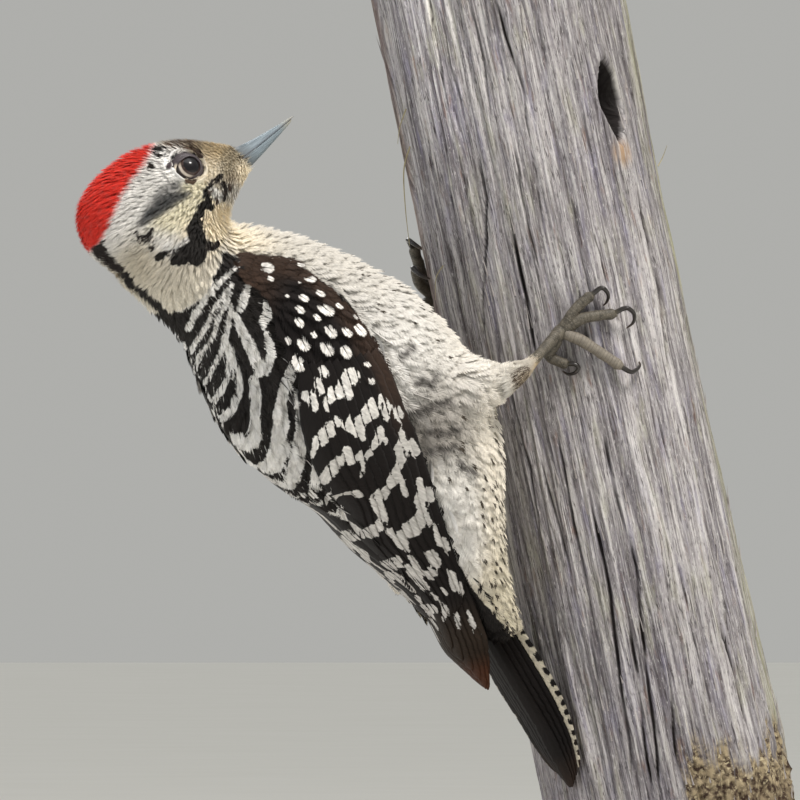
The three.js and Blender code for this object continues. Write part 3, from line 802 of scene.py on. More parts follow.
# (station, angle, half-width in mm) down each white rung of the ladder, from the shoulder to the middle.
RUNGS = [
    [(2.25, 90, 0.50), (2.1, 74, 0.50), (2.05, 55, 0.50), (2.1, 38, 0.50), (2.2, 22, 0.50),
     (2.45, -4, 0.45)],
    [(2.3, 70, 0.40), (2.3, 47, 0.45), (2.35, 35, 0.45), (2.55, 16, 0.45), (2.85, -8, 0.45),
     (3.45, -34, 0.50)],
    [(2.4, 60, 0.40), (2.45, 45, 0.42), (2.6, 28, 0.42), (2.9, 11, 0.42), (3.25, -12, 0.42),
     (4.05, -39, 0.60)],
    [(3.0, 20, 0.40), (3.3, 10, 0.50), (3.65, -7, 0.50), (4.15, -25, 0.55)],
    [(2.55, 50, 0.50), (2.75, 37, 0.55), (3.05, 21, 0.55), (3.45, 12, 0.60), (3.9, 4, 0.65), (4.25, -8, 0.65),
     (4.7, -26, 0.70)],
    [(3.3, 18, 0.55), (3.65, 13, 0.60), (4.1, 9, 0.65), (4.45, 4, 0.75), (4.85, -8, 0.85), (5.2, -27, 0.90)],
    [(2.75, 44, 0.60), (3.15, 36, 1.00), (3.55, 31, 1.30), (3.95, 27, 1.20), (4.15, 25, 0.90)],
    [(2.7, 73, 0.70), (2.7, 62, 0.85), (2.8, 50, 0.60)],
    [(3.25, 66, 0.80), (3.4, 58, 0.95), (3.45, 50, 0.70)],
    [(3.65, 46, 0.70), (3.85, 41, 0.90), (4.1, 36, 1.00), (4.25, 29, 0.70)],
    [(4.3, 18, 1.00), (4.6, 15, 1.20), (5.05, 9, 1.25), (5.5, 3, 1.30), (5.7, -4, 1.20), (5.65, -16, 1.10),
     (5.6, -30, 0.90)],
    [(4.45, 48, 0.80), (4.65, 41, 1.10), (4.85, 32, 1.20), (5.1, 26, 1.25), (5.5, 20, 1.30), (5.95, 11, 1.40),
     (6.25, -1, 1.40), (6.35, -19, 1.20), (6.25, -31, 1.00)],
    [(5.25, 36, 1.00), (5.55, 33, 1.10), (5.9, 27, 1.10), (6.2, 18, 1.10), (6.6, 5, 1.20), (6.85, -6, 1.10),
     (6.95, -20, 0.90)],
    [(6.4, 27, 0.70), (6.7, 18, 0.80), (7.1, 9, 0.95), (7.45, 0, 1.10), (7.6, -20, 1.00)],
    [(7.2, 20, 0.95), (7.9, 10, 1.10), (8.3, 0, 1.20), (8.4, -20, 1.10)],
    [(8.3, 20, 1.10), (8.9, 8, 1.25), (9.3, 0, 1.30), (9.4, -20, 1.20)],
]
# (station, angle, reach in stations, colour) of the body's ground.
BODY_GROUNDS = [
    (1.0, 90, 1.2, NECK_SIDE), (1.2, 150, 1.2, THROAT_WITH_PAINTED_LIGHT), (2.2, 130, 0.8, THROAT_WITH_PAINTED_LIGHT), (2.4, 60, 1.0, NECK_SIDE),
    (4.0, 125, 1.4, CREAM), (4.5, 165, 1.6, CREAM), (6.5, 110, 1.5, WHITE), (7.0, 160, 2.0, CREAM),
    (8.2, 80, 0.9, FLANK), (7.9, 80, 0.7, FLANK), (9.5, 140, 2.0, BELLY_WITH_PAINTED_LIGHT), (9.5, 72, 0.6, WHITE),
    (10.3, 66, 0.7, WHITE), (12.0, 150, 2.0, VENT), (13.5, 120, 1.5, VENT),
]


def rolled_out(station, angle):
    """A place on the body rolled out flat, in mm: round the body, and along it."""
    return np.asarray(angle) * blend(SECTIONS[:, 3], station) * math.radians(1), length_at(station)


FAR_OUTSIDE = -6.0  # mm, for places that are near no stroke


def strokes_inside(station, angle, strokes):
    """Distance inside the nearest of some strokes that are drawn on the body's map."""
    x, y = rolled_out(station, angle)
    inside = np.full(len(x), FAR_OUTSIDE)
    for stroke in strokes:
        stroke = np.array(stroke)
        round_it, along_it = rolled_out(stroke[:, 0], stroke[:, 1])
        near = (y > along_it.min() - 5) & (y < along_it.max() + 5)
        flat = list(zip(round_it, along_it, stroke[:, 2]))
        inside[near] = np.maximum(inside[near], stroke_inside(x[near], y[near], flat))
    return inside


def ladder(station, angle):
    """Distance inside the black between the rungs. The left side mirrors the right."""
    middle = np.interp(station, [4.0, 5.0, 6.0, 7.5], [-32, -20, -12, 0])
    mirrored = middle + (middle - angle) * (90 - middle) / (90 + middle)
    spread = np.interp(station, [2.3, 3.2], [0.06, 0.26])
    return -strokes_inside(station, np.where(angle < middle, mirrored, angle), RUNGS) - spread


# Soft grey-brown bars across the flank, behind the thigh.
FLANK_BARS = [
    [(6.9, 86, 0.35), (7.1, 90, 0.5), (7.25, 90, 0.4)], [(7.25, 90, 0.3), (7.3, 99, 0.3)],
    [(7.25, 73, 0.45), (7.45, 78, 0.5), (7.7, 85, 0.5), (7.9, 92, 0.4)],
    [(7.9, 72, 0.45), (8.25, 77, 0.5), (8.5, 87, 0.4)], [(8.45, 65, 0.5), (8.6, 73, 0.6), (8.8, 82, 0.5)],
    [(9.15, 78, 0.4), (9.55, 88, 0.4)], [(6.35, 92, 0.3), (6.4, 100, 0.4)],
]
# station and angle of the line where the pale coverts under the tail meet its black upper side
TAIL_BASE = np.array([(11.3, 52), (11.75, 53), (12.0, 56), (12.3, 59), (12.75, 66), (13.0, 71), (13.3, 82),
                      (13.8, 102)])


def body_marks(station, angle):
    turn = np.abs(angle)
    total = np.full(len(station), 1e-6)
    ground = np.outer(total, CREAM)
    for s, a, reach, colour in BODY_GROUNDS:
        weight = np.exp(-((station - s) / reach) ** 2 - ((turn - a) / (reach * 22)) ** 2)
        ground += weight[:, None] * colour
        total += weight
    ground /= total[:, None]
    first = np.interp(turn, [0, 50, 65, 100], [2.0, 2.0, 1.9, 1.75])
    back = (turn < wing_outer(station)) & (station > first)
    back_white = WHITE * (1 - 0.12 * smooth_step(3.0, 4.5, station))[:, None]
    ground = np.where(back[:, None], back_white, ground)
    inside = np.full(len(station), -3.0)
    inside[back] = ladder(station[back], angle[back])
    off_middle = np.abs(angle - read_table(HIND_NECK, station))
    hind_neck = (read_table(HIND_NECK, station, 2) - off_middle) * 0.22
    neck = smooth_step(2.6, 2.0, station) * smooth_step(-0.4, 0.3, station)
    inside = np.where(neck > 0.5, np.maximum(np.where(station > 1.8, inside, -3), hind_neck), inside)
    soft = smooth_step(-0.9, 0.1, strokes_inside(station, turn, FLANK_BARS))[:, None] * 0.9
    ground = ground * (1 - soft) + FLANK_BAR * soft
    boundary = read_table(TAIL_BASE, station)
    rump = np.minimum((boundary - turn) * 0.18, (station - 11.2) * 4)
    inside = np.maximum(inside, np.where(station > 11.2, rump, -9))
    edge_bar = 0.42 - np.abs(((length_at(station) + turn * 0.05) / 1.9) % 1 - 0.5) * 1.9
    along_edge = (turn > boundary + 6) & (turn < boundary + 12) & (station > 11.6)
    inside = np.where(along_edge, np.maximum(inside, edge_bar), inside)
    dark = np.tile(BLACK, (len(station), 1))
    return ground, dark, inside


# %% Name the wing's edges
# station, then the angles of the folded wing's upper and lower edges from the middle of the back
WING_EDGES = np.array([
    (2.4, 84, 98), (2.8, 72, 107), (3.4, 64, 108), (4, 50, 103), (5, 36, 92), (6, 25, 84), (7, 13, 72),
    (8, 9, 65), (9, 6, 60), (10.2, 5, 55), (11, 5, 51), (12, 5, 49), (13, 5, 42), (14, 6, 32), (14.8, 8, 24),
])


def wing_inner(station):
    return read_table(WING_EDGES, station)


def wing_outer(station):
    return read_table(WING_EDGES, station, 2)


def all_marks(points):
    """Marks anywhere on the bird's skin, given in the perch's frame."""
    station, angle, _ = body_map(points)
    face_ground, face_dark, face_inside, crown = face_marks(points)
    ground, dark, inside = body_marks(station, angle)
    head = head_weight(points, station)
    on_head = head > 0.5
    ground = head[:, None] * NECK_SIDE + (1 - head[:, None]) * ground
    ground = np.where(on_head[:, None], face_ground, ground)
    dark = np.where(on_head[:, None], face_dark, dark)
    below = np.where(crown > 0, -9, inside - 0.2)
    inside = np.where(on_head, np.maximum(face_inside, below), inside)
    return ground, dark, inside, np.where(on_head, crown, -9)


ground, dark, ink, _ = all_marks(get_points(skin))
set_values(skin, "ground", ground)
set_values(skin, "dark", dark)
set_values(skin, "ink", ink)
# Painted shade: the skin, which shows only in gaps under the coat, is darkened to 0.8.
set_values(skin, "shade", np.full(len(ink), 0.8))
print("dark share of the skin:", round(float((ink > 0).mean()), 2))

# %% [markdown]
# ## Feathers from narrow kites
#
# A feather is a shaft with barbs on both sides. Each barb is made as one narrow kite with a raised ridge:
# five points and six faces, so it is solid and catches the light along its length. A few feather shapes are
# drawn once as templates, and every feather on the bird is a template set down with its own place, lie,
# length and bend. This could be hair, but solid barbs can be held, printed and painted.

# %% Draw the templates
KITE_FACES = np.array([(0, 2, 3), (2, 4, 3), (4, 1, 3), (1, 0, 3), (0, 1, 2), (1, 4, 2)])
KITE_MIDDLE = 0.45  # share of a barb where it is widest


def kites(bases, tips, widths, ridge):
    """Rows of five points, one row for each kite: base, left, right, ridge and tip."""
    bases, tips = np.asarray(bases, float), np.asarray(tips, float)
    widths = np.asarray(widths, float)[:, None]
    line = tips - bases
    side = unit(np.stack([line[:, 1], -line[:, 0], np.zeros(len(line))], -1))
    centre = bases + line * KITE_MIDDLE
    top = centre + [0, 0, ridge]
    return np.stack([bases, centre - side * widths / 2, centre + side * widths / 2, top, tips], 1)


def vane_template(seed, barbs, barb_width, outline=(0.56, 0.44), spread=-38, raggedness=0.05):
    """A whole small feather, 1 long and 1 in half-width: points, and each point's place on the vane."""
    random = np.random.default_rng(seed)
    bases, tips, widths = [(0, 0, 0.0)], [(0, 0.97, 0.0)], [barb_width]
    for side in (-1, 1):
        for k in range(barbs):
            share = (k + 0.5 + random.uniform(-0.2, 0.2)) / barbs
            turn = math.radians(spread + (86 - spread) * share ** 0.9)
            reach = 1 + random.normal(0, raggedness)
            tip = (side * math.cos(turn) * reach, outline[0] + outline[1] * math.sin(turn) * reach, 0.0)
            start = 0.02 + 0.80 * share ** 1.15
            bases.append((0.0, start, 0.0))
            tips.append(tip)
            widths.append(barb_width * random.uniform(0.85, 1.15))
    return np.array(bases), np.array(tips), np.array(widths)


def tuft_template(seed):
    """A few loose strands from one root, for the short face and crown feathers."""
    random = np.random.default_rng(seed)
    bases, tips, widths = [], [], []
    for share in [(k + 0.5) / 6 * 2 - 1 for k in range(6)]:
        bases.append((share * 0.25, random.uniform(0, 0.1), 0))
        aside = share * 0.7 + random.normal(0, 0.1)
        tips.append((aside, random.uniform(0.75, 1.0), random.uniform(-0.03, 0.03)))
        widths.append(0.25 * random.uniform(0.8, 1.2))
    return np.array(bases), np.array(tips), np.array(widths)


CONTOUR = [vane_template(seed, 15, 0.12) for seed in range(6)]
UNDER_FEATHER = [vane_template(10 + seed, 10, 0.17, (0.5, 0.5), -32, 0.10) for seed in range(6)]
NECK_FEATHER = [vane_template(20 + seed, 9, 0.17, (0.5, 0.5), -25, 0.08) for seed in range(5)]
STRANDS = [tuft_template(40 + seed) for seed in range(8)]
COVERT = [vane_template(60 + seed, 17, 0.13, (0.60, 0.40), -50, 0.03) for seed in range(4)]
print("barbs in a body feather:", len(CONTOUR[0][0]), "in a covert:", len(COVERT[0][0]))

# %% Set feathers down
BODY_CURVE = 21.0  # mm, the radius that feathers wrap round


def set_down(templates, choice, root, tip_way, normal, length, half_width, bend, curve, ridge=0.05):
    """Points of many feathers. Returns points, owners and places on the vane."""
    points, owners, vanes = [], [], []
    across_way = np.cross(tip_way, normal)
    for number, (bases, tips, widths) in enumerate(templates):
        own = np.flatnonzero(choice == number)
        if len(own) == 0:
            continue
        shape = kites(bases, tips, widths, ridge).reshape(-1, 3)
        x = shape[:, 0] * half_width[own][:, None]
        y = shape[:, 1] * length[own][:, None]
        z = shape[:, 2] * half_width[own][:, None] - x ** 2 / (2 * curve[own][:, None])
        lift = np.clip(shape[:, 1], 0, 1.2) ** 1.3
        place = (root[own][:, None] + across_way[own][:, None] * x[..., None]
                 + tip_way[own][:, None] * y[..., None] + normal[own][:, None] * z[..., None]
                 + bend[own][:, None] * lift[:, None])
        points.append(place.reshape(-1, 3))
        owners.append(np.repeat(own, len(shape)))
        vanes.append(np.tile(shape[:, :2], (len(own), 1)))
    return np.concatenate(points), np.concatenate(owners), np.concatenate(vanes)


def make_coat(name, points, vanes, owners, root, size, values):
    """A coat piece with its unwrap patches and its painted values."""
    kite_count = len(points) // 5
    faces = (np.arange(kite_count)[:, None, None] * 5 + KITE_FACES[None]).reshape(-1, 3)
    piece = make_mesh(name, points, faces, False)
    chart = chart_of(root)
    turn, along = unwrap(root, chart)
    place = place_on_unwrap(turn, along, chart)
    patch = np.clip(vanes - np.array([0, 0.5]), -0.6, 0.6) * TUFT_PATCH
    set_uv(piece, (place[owners] + patch)[corner_points(piece)])
    set_values(piece, "across", vanes[:, 0] * size[:, 1])
    set_values(piece, "along", vanes[:, 1] * size[:, 0])
    for key, value in values.items():
        set_values(piece, key, value)
    return piece


# %% Choose the places where feathers grow
skin_points = get_points(skin)
skin_normals = get_normals(skin)
skin_tree = BVHTree.FromObject(skin, bpy.context.evaluated_depsgraph_get())


CANDIDATES = 300000  # places tried, far more than the feathers that are kept


def scatter():
    """Even random points on the skin, with the skin's normals, in the perch's frame."""
    random = np.random.default_rng(5)
    mesh = skin.data
    mesh.calc_loop_triangles()
    corners = np.zeros(len(mesh.loop_triangles) * 3, np.int32)
    mesh.loop_triangles.foreach_get("vertices", corners)
    corners = corners.reshape(-1, 3)
    triangle = skin_points[corners]
    edges = triangle[:, 1:] - triangle[:, :1]
    area = np.linalg.norm(np.cross(edges[:, 0], edges[:, 1]), axis=1)
    chosen = random.choice(len(corners), CANDIDATES, p=area / area.sum())
    share = random.dirichlet((1, 1, 1), CANDIDATES)
    place = (triangle[chosen] * share[..., None]).sum(1)
    normal = unit((skin_normals[corners[chosen]] * share[..., None]).sum(1))
    return place, normal


def thin_out(points, gap, seed):
    """Keeps points so that none is nearer to another than its own gap."""
    order = np.random.default_rng(seed).permutation(len(points))
    tree = kdtree.KDTree(len(points))
    for i, point in enumerate(points):
        tree.insert(point, i)
    tree.balance()
    free = np.ones(len(points), bool)
    kept = []
    for i in order:
        if not free[i]:
            continue
        kept.append(i)
        for _, j, _ in tree.find_range(points[i], gap[i]):
            free[j] = False
    return np.array(kept)


EYE_AT = {side: np.array([-EYE_BEHIND_BILL, -sign * 5.2, EYE_ABOVE_BILL]) for side, sign in LEGS.items()}


def lie(points, normals, head, thigh):
    """The way the feather tips point: back from the bill, down the body, and down the thighs."""
    local = perch_to_head(points)
    from_bill = local - np.array([2.5, 0, -0.3])
    radial = unit(from_bill) @ HEAD_AXES
    station, _, _ = body_map(points)
    _, headward, _ = spine(station)
    way = radial * head[:, None] - headward * (1 - head)[:, None]
    for side, sign in LEGS.items():
        knee, ankle = THIGHS[side]
        here = thigh * (points[:, 1] * sign > 0)
        way = way * (1 - here)[:, None] + unit(ankle - knee) * here[:, None]
    way = way - normals * (way * normals).sum(1)[:, None]
    return unit(way)


def region_table(points):
    """Spacing, length and half-width of the feathers of a place, and which piece they belong to."""
    station, angle, radius = body_map(points)
    turn = np.abs(angle)
    local = perch_to_head(points)
    head = head_weight(points, station)
    thigh, down = on_thigh(points, radius)
    forward, up = side_view(local)
    face = smooth_step(-20, 0, local[:, 0])
    neck = smooth_step(4.2, 1.6, station)
    gap = 1.50 - 0.72 * neck
    length = 6.6 - 3.2 * neck
    width = 2.25 - 1.35 * neck
    under = smooth_step(68, 88, turn) * (1 - neck)
    gap -= 0.30 * under
    length -= 1.2 * under
    width -= 0.65 * under
    vent = smooth_step(9, 13.5, station)
    gap -= 0.25 * vent * smooth_step(60, 110, turn)
    crown = up > read_table(CROWN_EDGE, forward)
    head_gap = 0.44 - 0.14 * face
    head_length = 2.5 - 1.25 * face + 0.6 * crown
    gap = gap * (1 - head) + head_gap * head
    length = length * (1 - head) + head_length * head
    width = width * (1 - head) + (0.46 - 0.10 * face) * head
    gap = gap * (1 - thigh) + (1.0 - 0.35 * down) * thigh
    length = length * (1 - thigh) + (4.2 - 1.8 * down) * thigh
    width = width * (1 - thigh) + (1.3 - 0.5 * down) * thigh
    return station, turn, radius, head, thigh, down, gap, length, width


def hidden(points, station, turn):
    """True where nothing grows: under the folded wings, in the eye and where the bill joins."""
    reach = np.interp(station, [3, 4.5, 6.5, 8], [5, 10, 9, 5])
    under = (turn > wing_inner(station) + reach) & (turn < wing_outer(station) - 7) & (station > 3.4)
    under |= (station > 11.5) & (turn < 50)
    _, angle, _ = body_map(points)
    under |= (station > 11.0) & (angle < 0) & (turn < 64)
    local = perch_to_head(points)
    in_bill = (local[:, 0] > -1.0) & (np.hypot(local[:, 1], local[:, 2] + 0.3) < 2.2)
    in_eye = np.zeros(len(points), bool)
    for centre in EYE_AT.values():
        off = local - centre
        in_eye |= (np.hypot(off[:, 0], off[:, 2]) < 2.45) & (np.sign(local[:, 1]) == np.sign(centre[1]))
    in_cuff = np.zeros(len(points), bool)
    for side in LEGS:
        at, away = near_shank(points, side)
        in_cuff |= (SHANKS[side][1][at] > -2.5) & (away < 4)
    return under | in_bill | in_eye | in_cuff


candidates, candidate_normals = scatter()
station, turn, radius, head, thigh, down, gap, length, width = region_table(candidates)
keep = ~hidden(candidates, station, turn)
candidates, candidate_normals, gap = candidates[keep], candidate_normals[keep], gap[keep]
grown = thin_out(candidates, gap, 6)
root, root_normal = candidates[grown], candidate_normals[grown]
station, turn, radius, head, thigh, down, gap, length, width = region_table(root)
print("feathers and tufts on the body:", len(root))

# %% Aim and bend every feather
random = np.random.default_rng(7)
tip_way = lie(root, root_normal, head, thigh)
swing = np.radians(random.normal(0, 5, len(root)) * (1 + 0.6 * head))
across = np.cross(tip_way, root_normal)
tip_way = unit(tip_way * np.cos(swing)[:, None] + across * np.sin(swing)[:, None])
length = length * random.uniform(0.88, 1.12, len(root))
width = width * random.uniform(0.9, 1.1, len(root))
rump = smooth_step(10.9, 11.4, station) * (turn < read_table(TAIL_BASE, station) + 3)
length = length * (1 - 0.5 * rump)
width = width * (1 - 0.35 * rump)
reach = root + tip_way * length[:, None]
rise = (coat_depth(root) + 0.4) * random.uniform(0.72, 1.02, len(root)) * (1 - 0.4 * rump)
local = perch_to_head(root)
throat = np.exp(-((local[:, 0] + 5) / 5.5) ** 2) * smooth_step(-3, -6.5, local[:, 2]) * head
rise = rise + 0.9 * throat
target = np.zeros_like(reach)
for i, point in enumerate(to_world(reach) * MM):
    place, normal, _, _ = skin_tree.find_nearest(point)
    target[i] = np.array(place) + np.array(normal) * rise[i] * MM
bend = to_perch(target / MM) - reach
curve = BODY_CURVE * (1 - head) + 12 * head
curve = np.where(thigh > 0.5, 5, curve)
print("longest feather", round(float(length.max()), 1), "mm")

# %% Make the coat pieces
FLECK = linear("#2c2520")


def fleck_ink(owners, vanes, root, length, width, turn, station, thigh, down, random):
    """Distance inside the small dark fleck at the tip of some breast, flank and thigh feathers."""
    under = smooth_step(95, 108, turn) * smooth_step(3.2, 4.6, station)
    flank = smooth_step(60, 75, turn) * smooth_step(7.5, 9, station)
    chance = np.maximum(0.10 * under, 0.24 * flank) * (1 - 0.5 * smooth_step(150, 175, turn))
    chance = chance + 0.30 * smooth_step(9.5, 11, station) * smooth_step(80, 100, turn)
    chance = np.maximum(chance * (1 - thigh), 0.35 * thigh * smooth_step(0.45, 0.8, down))
    flecked = random.uniform(0, 1, len(root)) < chance
    size = random.uniform(0.20, 0.38, len(root)) * (1 + 0.3 * flank)
    across = vanes[:, 0] * width[owners]
    along = (vanes[:, 1] - 0.93) * length[owners]
    slim = (1.0 + 0.5 * smooth_step(8.5, 10, station))[owners]
    inside = size[owners] - np.hypot(across * slim * 1.1, along * 0.42)
    return np.where(flecked[owners], inside, -9.0)


def grow(name, chosen, templates, ridge=0.10):
    """One coat piece from the feathers chosen for it."""
    own = np.flatnonzero(chosen)
    local_random = np.random.default_rng(len(own))
    choice = local_random.integers(0, len(templates), len(own))
    points, owners, vanes = set_down(templates, choice, root[own], tip_way[own], root_normal[own],
                                     length[own], width[own], bend[own], curve[own], ridge)
    wander = 0.06 + 0.14 * smooth_step(2.6, 4, station[own]) * (1 - head[own])
    shift = local_random.normal(0, wander, len(own))
    looked_at = points + tip_way[own][owners] * shift[owners][:, None]
    ground, dark, ink, _ = all_marks(looked_at)
    forward, up = side_view(perch_to_head(root[own]))
    forehead = smooth_step(4.4, 5.6, up) * smooth_step(-9.6, -8.4, forward)
    stray = local_random.normal(0, 0.16 + 0.55 * forehead, len(own)) * head[own]
    ink = ink + stray[owners]
    flecks = fleck_ink(owners, vanes, root[own], length[own], width[own], turn[own], station[own],
                       thigh[own], down[own], local_random)
    soft_fleck = FLECK + (GREY_BROWN - FLECK) * (0.32 + 0.5 * thigh[own])[owners][:, None]
    dark = np.where((flecks > ink)[:, None], soft_fleck, dark)
    ink = np.maximum(ink, flecks)
    spread = 0.13 - 0.06 * smooth_step(70, 90, turn[own]) * (1 - head[own])
    tone = (local_random.uniform(-1, 1, len(own)) * spread + 0.98 - 0.06 * thigh[own])[owners]
    # Painted shade: each feather is darker towards its root, where the feathers over it shade it; the tone is
    # random for each feather.
    root_shade = (0.62 + 0.16 * head[own])[owners]
    shade = tone * (root_shade + (1 - root_shade) * smooth_step(0.0, 0.55, vanes[:, 1]))
    values = {"ground": ground, "dark": dark, "ink": ink, "shade": shade}
    size = np.stack([length[own], width[own]], -1)[owners]
    return make_coat(name, points, vanes, owners, root[own], size, values)


local = perch_to_head(root)
on_head = head > 0.5
on_body = ~on_head & (thigh < 0.5)
behind_neck = on_body & (station >= 3.6)
below = behind_neck & (turn >= 75)
coats = [
    grow("coat_face", on_head & (local[:, 0] > -18), STRANDS, 0.12),
    grow("coat_crown", on_head & (local[:, 0] <= -18), STRANDS, 0.12),
    grow("coat_neck", on_body & (station < 3.6), NECK_FEATHER),
    grow("coat_back", behind_neck & (turn < 75), CONTOUR),
    grow("coat_breast", below & (station < 7), UNDER_FEATHER),
    grow("coat_belly", below & (station >= 7) & (station < 10.5), UNDER_FEATHER),
    grow("coat_vent", below & (station >= 10.5), UNDER_FEATHER),
    grow("coat_thighs", thigh >= 0.5, NECK_FEATHER),
]
for coat in coats:
    print(coat.name, len(coat.data.polygons), "triangles")

# %% [markdown]
# ## The wings
#
# A folded wing is a stack of shingles. The stiff flight feathers lie lowest, each one tucked under its
# inner neighbour, so only a strip of its outer edge shows. Rows of coverts hide their roots. The flight
# feathers are solid blades with a shaft, drawn along the body's map; the coverts are barbed templates.

# %% List the wing's marks
# (station, angle, half-width) along the white bars of the flight feathers
WING_BARS = [
    [(5.7, 47, 0.95), (5.65, 53, 1.05), (5.7, 57, 1.05), (5.7, 61, 1.05)], [(5.5, 62, 1.35), (5.6, 66, 1.35)],
    [(5.1, 55, 0.95), (5.15, 55, 0.95)], [(5.1, 49, 0.7), (5.35, 49, 0.75)],
    [(5.2, 40, 0.9), (5.3, 42, 1.05), (5.5, 41, 1.0)],
    [(6.15, 31, 1.0), (6.1, 37, 1.1), (6.1, 42, 1.15), (6.15, 45, 1.0)],
    [(6.2, 28, 0.37), (6.35, 22, 0.37)],
    [(6.35, 48, 1.15), (6.35, 53, 1.5), (6.4, 58, 1.4), (6.4, 63, 1.35), (6.25, 64, 0.7)],
    [(6.45, 49, 0.75), (6.6, 48, 0.7)], [(6.35, 69, 0.5), (6.6, 68, 0.5)],
    [(6.6, 65, 0.5), (6.8, 63, 0.5)],
    [(6.8, 69, 0.93), (7.0, 68, 0.9)],
    [(7.0, 15, 1.1), (6.85, 23, 1.15), (6.75, 29, 1.15), (6.75, 32, 1.1)],
    [(6.75, 38, 1.1), (7.0, 36, 1.05)], [(7.1, 55, 0.45), (7.15, 54, 0.45)],
    [(7.15, 40, 0.3), (7.65, 33, 0.3)],
    [(7.0, 40, 0.7), (7.0, 44, 0.75), (7.0, 50, 0.8), (6.95, 54, 0.8), (6.8, 57, 0.7)],
    [(8.85, -6, 0.8), (8.55, 1, 0.9), (7.95, 12, 0.95), (7.95, 18, 1.0), (8.2, 23, 1.0), (8.55, 23, 0.9)],
    [(7.2, 63, 0.5), (7.65, 59, 0.5)], [(7.7, 62, 0.9), (8.2, 61, 0.9)],
    [(7.55, 57, 0.9), (8.05, 53, 1.05), (8.3, 47, 1.1), (8.65, 41, 1.2), (8.75, 35, 1.2), (9.0, 28, 1.1),
     (9.4, 25, 1.0), (9.65, 23, 0.8)], [(8.3, 48, 0.6), (8.8, 46, 0.6), (9.2, 43, 0.5)],
    [(9.35, -5, 1.1), (9.6, -1, 1.15), (9.8, -1, 1.1)], [(9.8, 6, 1.35), (9.8, 16, 1.35)],
    [(10.05, 22, 1.4), (10.05, 29, 1.4), (10.0, 36, 1.4), (9.9, 42, 1.4), (9.85, 45, 1.2)],
    [(10.15, 22, 0.95), (10.35, 20, 0.9)], [(9.35, 56, 0.7), (9.6, 54, 0.7)],
    [(8.9, 54, 0.7), (9.3, 52, 0.75), (9.5, 47, 0.75), (9.7, 47, 0.7)],
    [(10.65, -12, 1.25), (10.65, -2, 1.3), (10.65, 7, 1.3)], [(10.6, 20, 0.45), (10.95, 16, 0.5)],
    [(11.0, 9, 1.3), (11.25, 9, 1.3), (11.4, 9, 1.2)],
    [(10.95, 12, 1.05), (11.05, 20, 1.05), (11.1, 26, 1.0)],
    [(10.7, 35, 1.2), (10.9, 34, 1.15)], [(10.1, 49, 0.6), (10.5, 45, 0.55)],
    [(10.5, 49, 0.65), (10.75, 48, 0.6)],
    [(11.95, -12, 1.0), (11.95, -1, 1.0)], [(11.7, 11, 0.65), (11.75, 12, 0.65)],
    [(11.9, 15, 0.6), (12.15, 11, 0.6), (12.25, 5, 0.6)], [(11.55, 25, 0.45), (11.7, 26, 0.4)],
    [(11.2, 42, 0.65), (11.65, 36, 0.6)], [(11.55, 44, 0.35), (11.85, 42, 0.35)],
    [(12.2, 22, 0.5), (12.5, 17, 0.45)], [(12.35, 35, 0.6), (12.7, 33, 0.6)],
    [(11.55, 54, 0.6), (11.75, 58, 0.6)], [(11.1, 53, 0.5), (11.3, 55, 0.5)],
]
# the same for blots that show only on the wing that lies beneath
UNDER_WING_BARS = [[(10.25, 15, 1.0), (10.5, 25, 1.0)], [(11.45, 27, 1.1), (11.7, 39, 1.1)]]
# (station, angle, radius) of the covert feathers' white spots
COVERT_SPOTS = [
    (2.95, 96, 1.2), (3.0, 86, 0.7), (3.5, 108, 0.7), (3.75, 99, 1.1), (4.0, 91, 0.9), (4.4, 90, 0.8),
    (4.3, 83, 1.6), (4.15, 75, 0.8), (3.8, 73, 0.9), (3.75, 82, 0.9), (3.95, 65, 1.0), (3.4, 78, 0.5),
    (4.3, 65, 0.7), (4.6, 73, 1.3), (4.85, 79, 1.1), (5.1, 85, 1.3), (4.35, 56, 1.4), (4.8, 64, 1.5),
    (5.15, 70, 1.3), (5.65, 75, 1.1), (5.95, 70, 0.9), (4.0, 51, 0.8), (4.6, 46, 1.5), (3.5, 92, 0.4),
    (4.75, 90, 0.6),
]
WHITE_SPREAD = 0.22  # mm, how far the white runs past each listed bar
WING_GROUND = linear("#ece9e4")
WING_DARK = linear("#120d0c")
WING_TIP = linear("#2a2017")
WING_RUST = linear("#482a1a")
LESSER_BROWN = linear("#3b2c23")

# %% Build one long feather
BLADE_ACROSS = 9
BLADE_ALONG = 72
SHAFT_AT = 0.36  # share of the width from the outer edge
TIP_AT = 0.42  # the same for the point of the tip


def wall_faces(rings, around, joined=False):
    """Triangles of a tube of rings. The last ring of a joined tube meets its first."""
    i, j = np.meshgrid(np.arange(rings if joined else rings - 1), np.arange(around), indexing="ij")
    a, b = i * around + j, i * around + (j + 1) % around
    c, d = (i + 1) % rings * around + j, (i + 1) % rings * around + (j + 1) % around
    return np.concatenate([np.stack([a, b, d], -1).reshape(-1, 3), np.stack([a, d, c], -1).reshape(-1, 3)])


def ring_faces(rings, around):
    """Triangles of a tube of rings, with flat fans over its ends."""
    fan = np.arange(1, around - 1)
    last = (rings - 1) * around
    start = np.stack([np.zeros_like(fan), fan + 1, fan], -1)
    end = np.stack([np.full_like(fan, last), last + fan, last + fan + 1], -1)
    return np.concatenate([wall_faces(rings, around), start, end])


def signed_volume(points, faces):
    a, b, c = points[faces[:, 0]], points[faces[:, 1]], points[faces[:, 2]]
    return (a * np.cross(b, c)).sum()


def outward(points, faces):
    return faces[:, ::-1] if signed_volume(points - points.mean(0), faces) < 0 else faces


def join_parts(parts):
    """The points and faces of some closed shells as one mesh, each turned to face outwards."""
    points = [part[0] for part in parts]
    firsts = np.cumsum([0] + [len(p) for p in points])
    faces = [outward(part[0], part[1]) + first for part, first in zip(parts, firsts)]
    return np.concatenate(points), np.concatenate(faces)


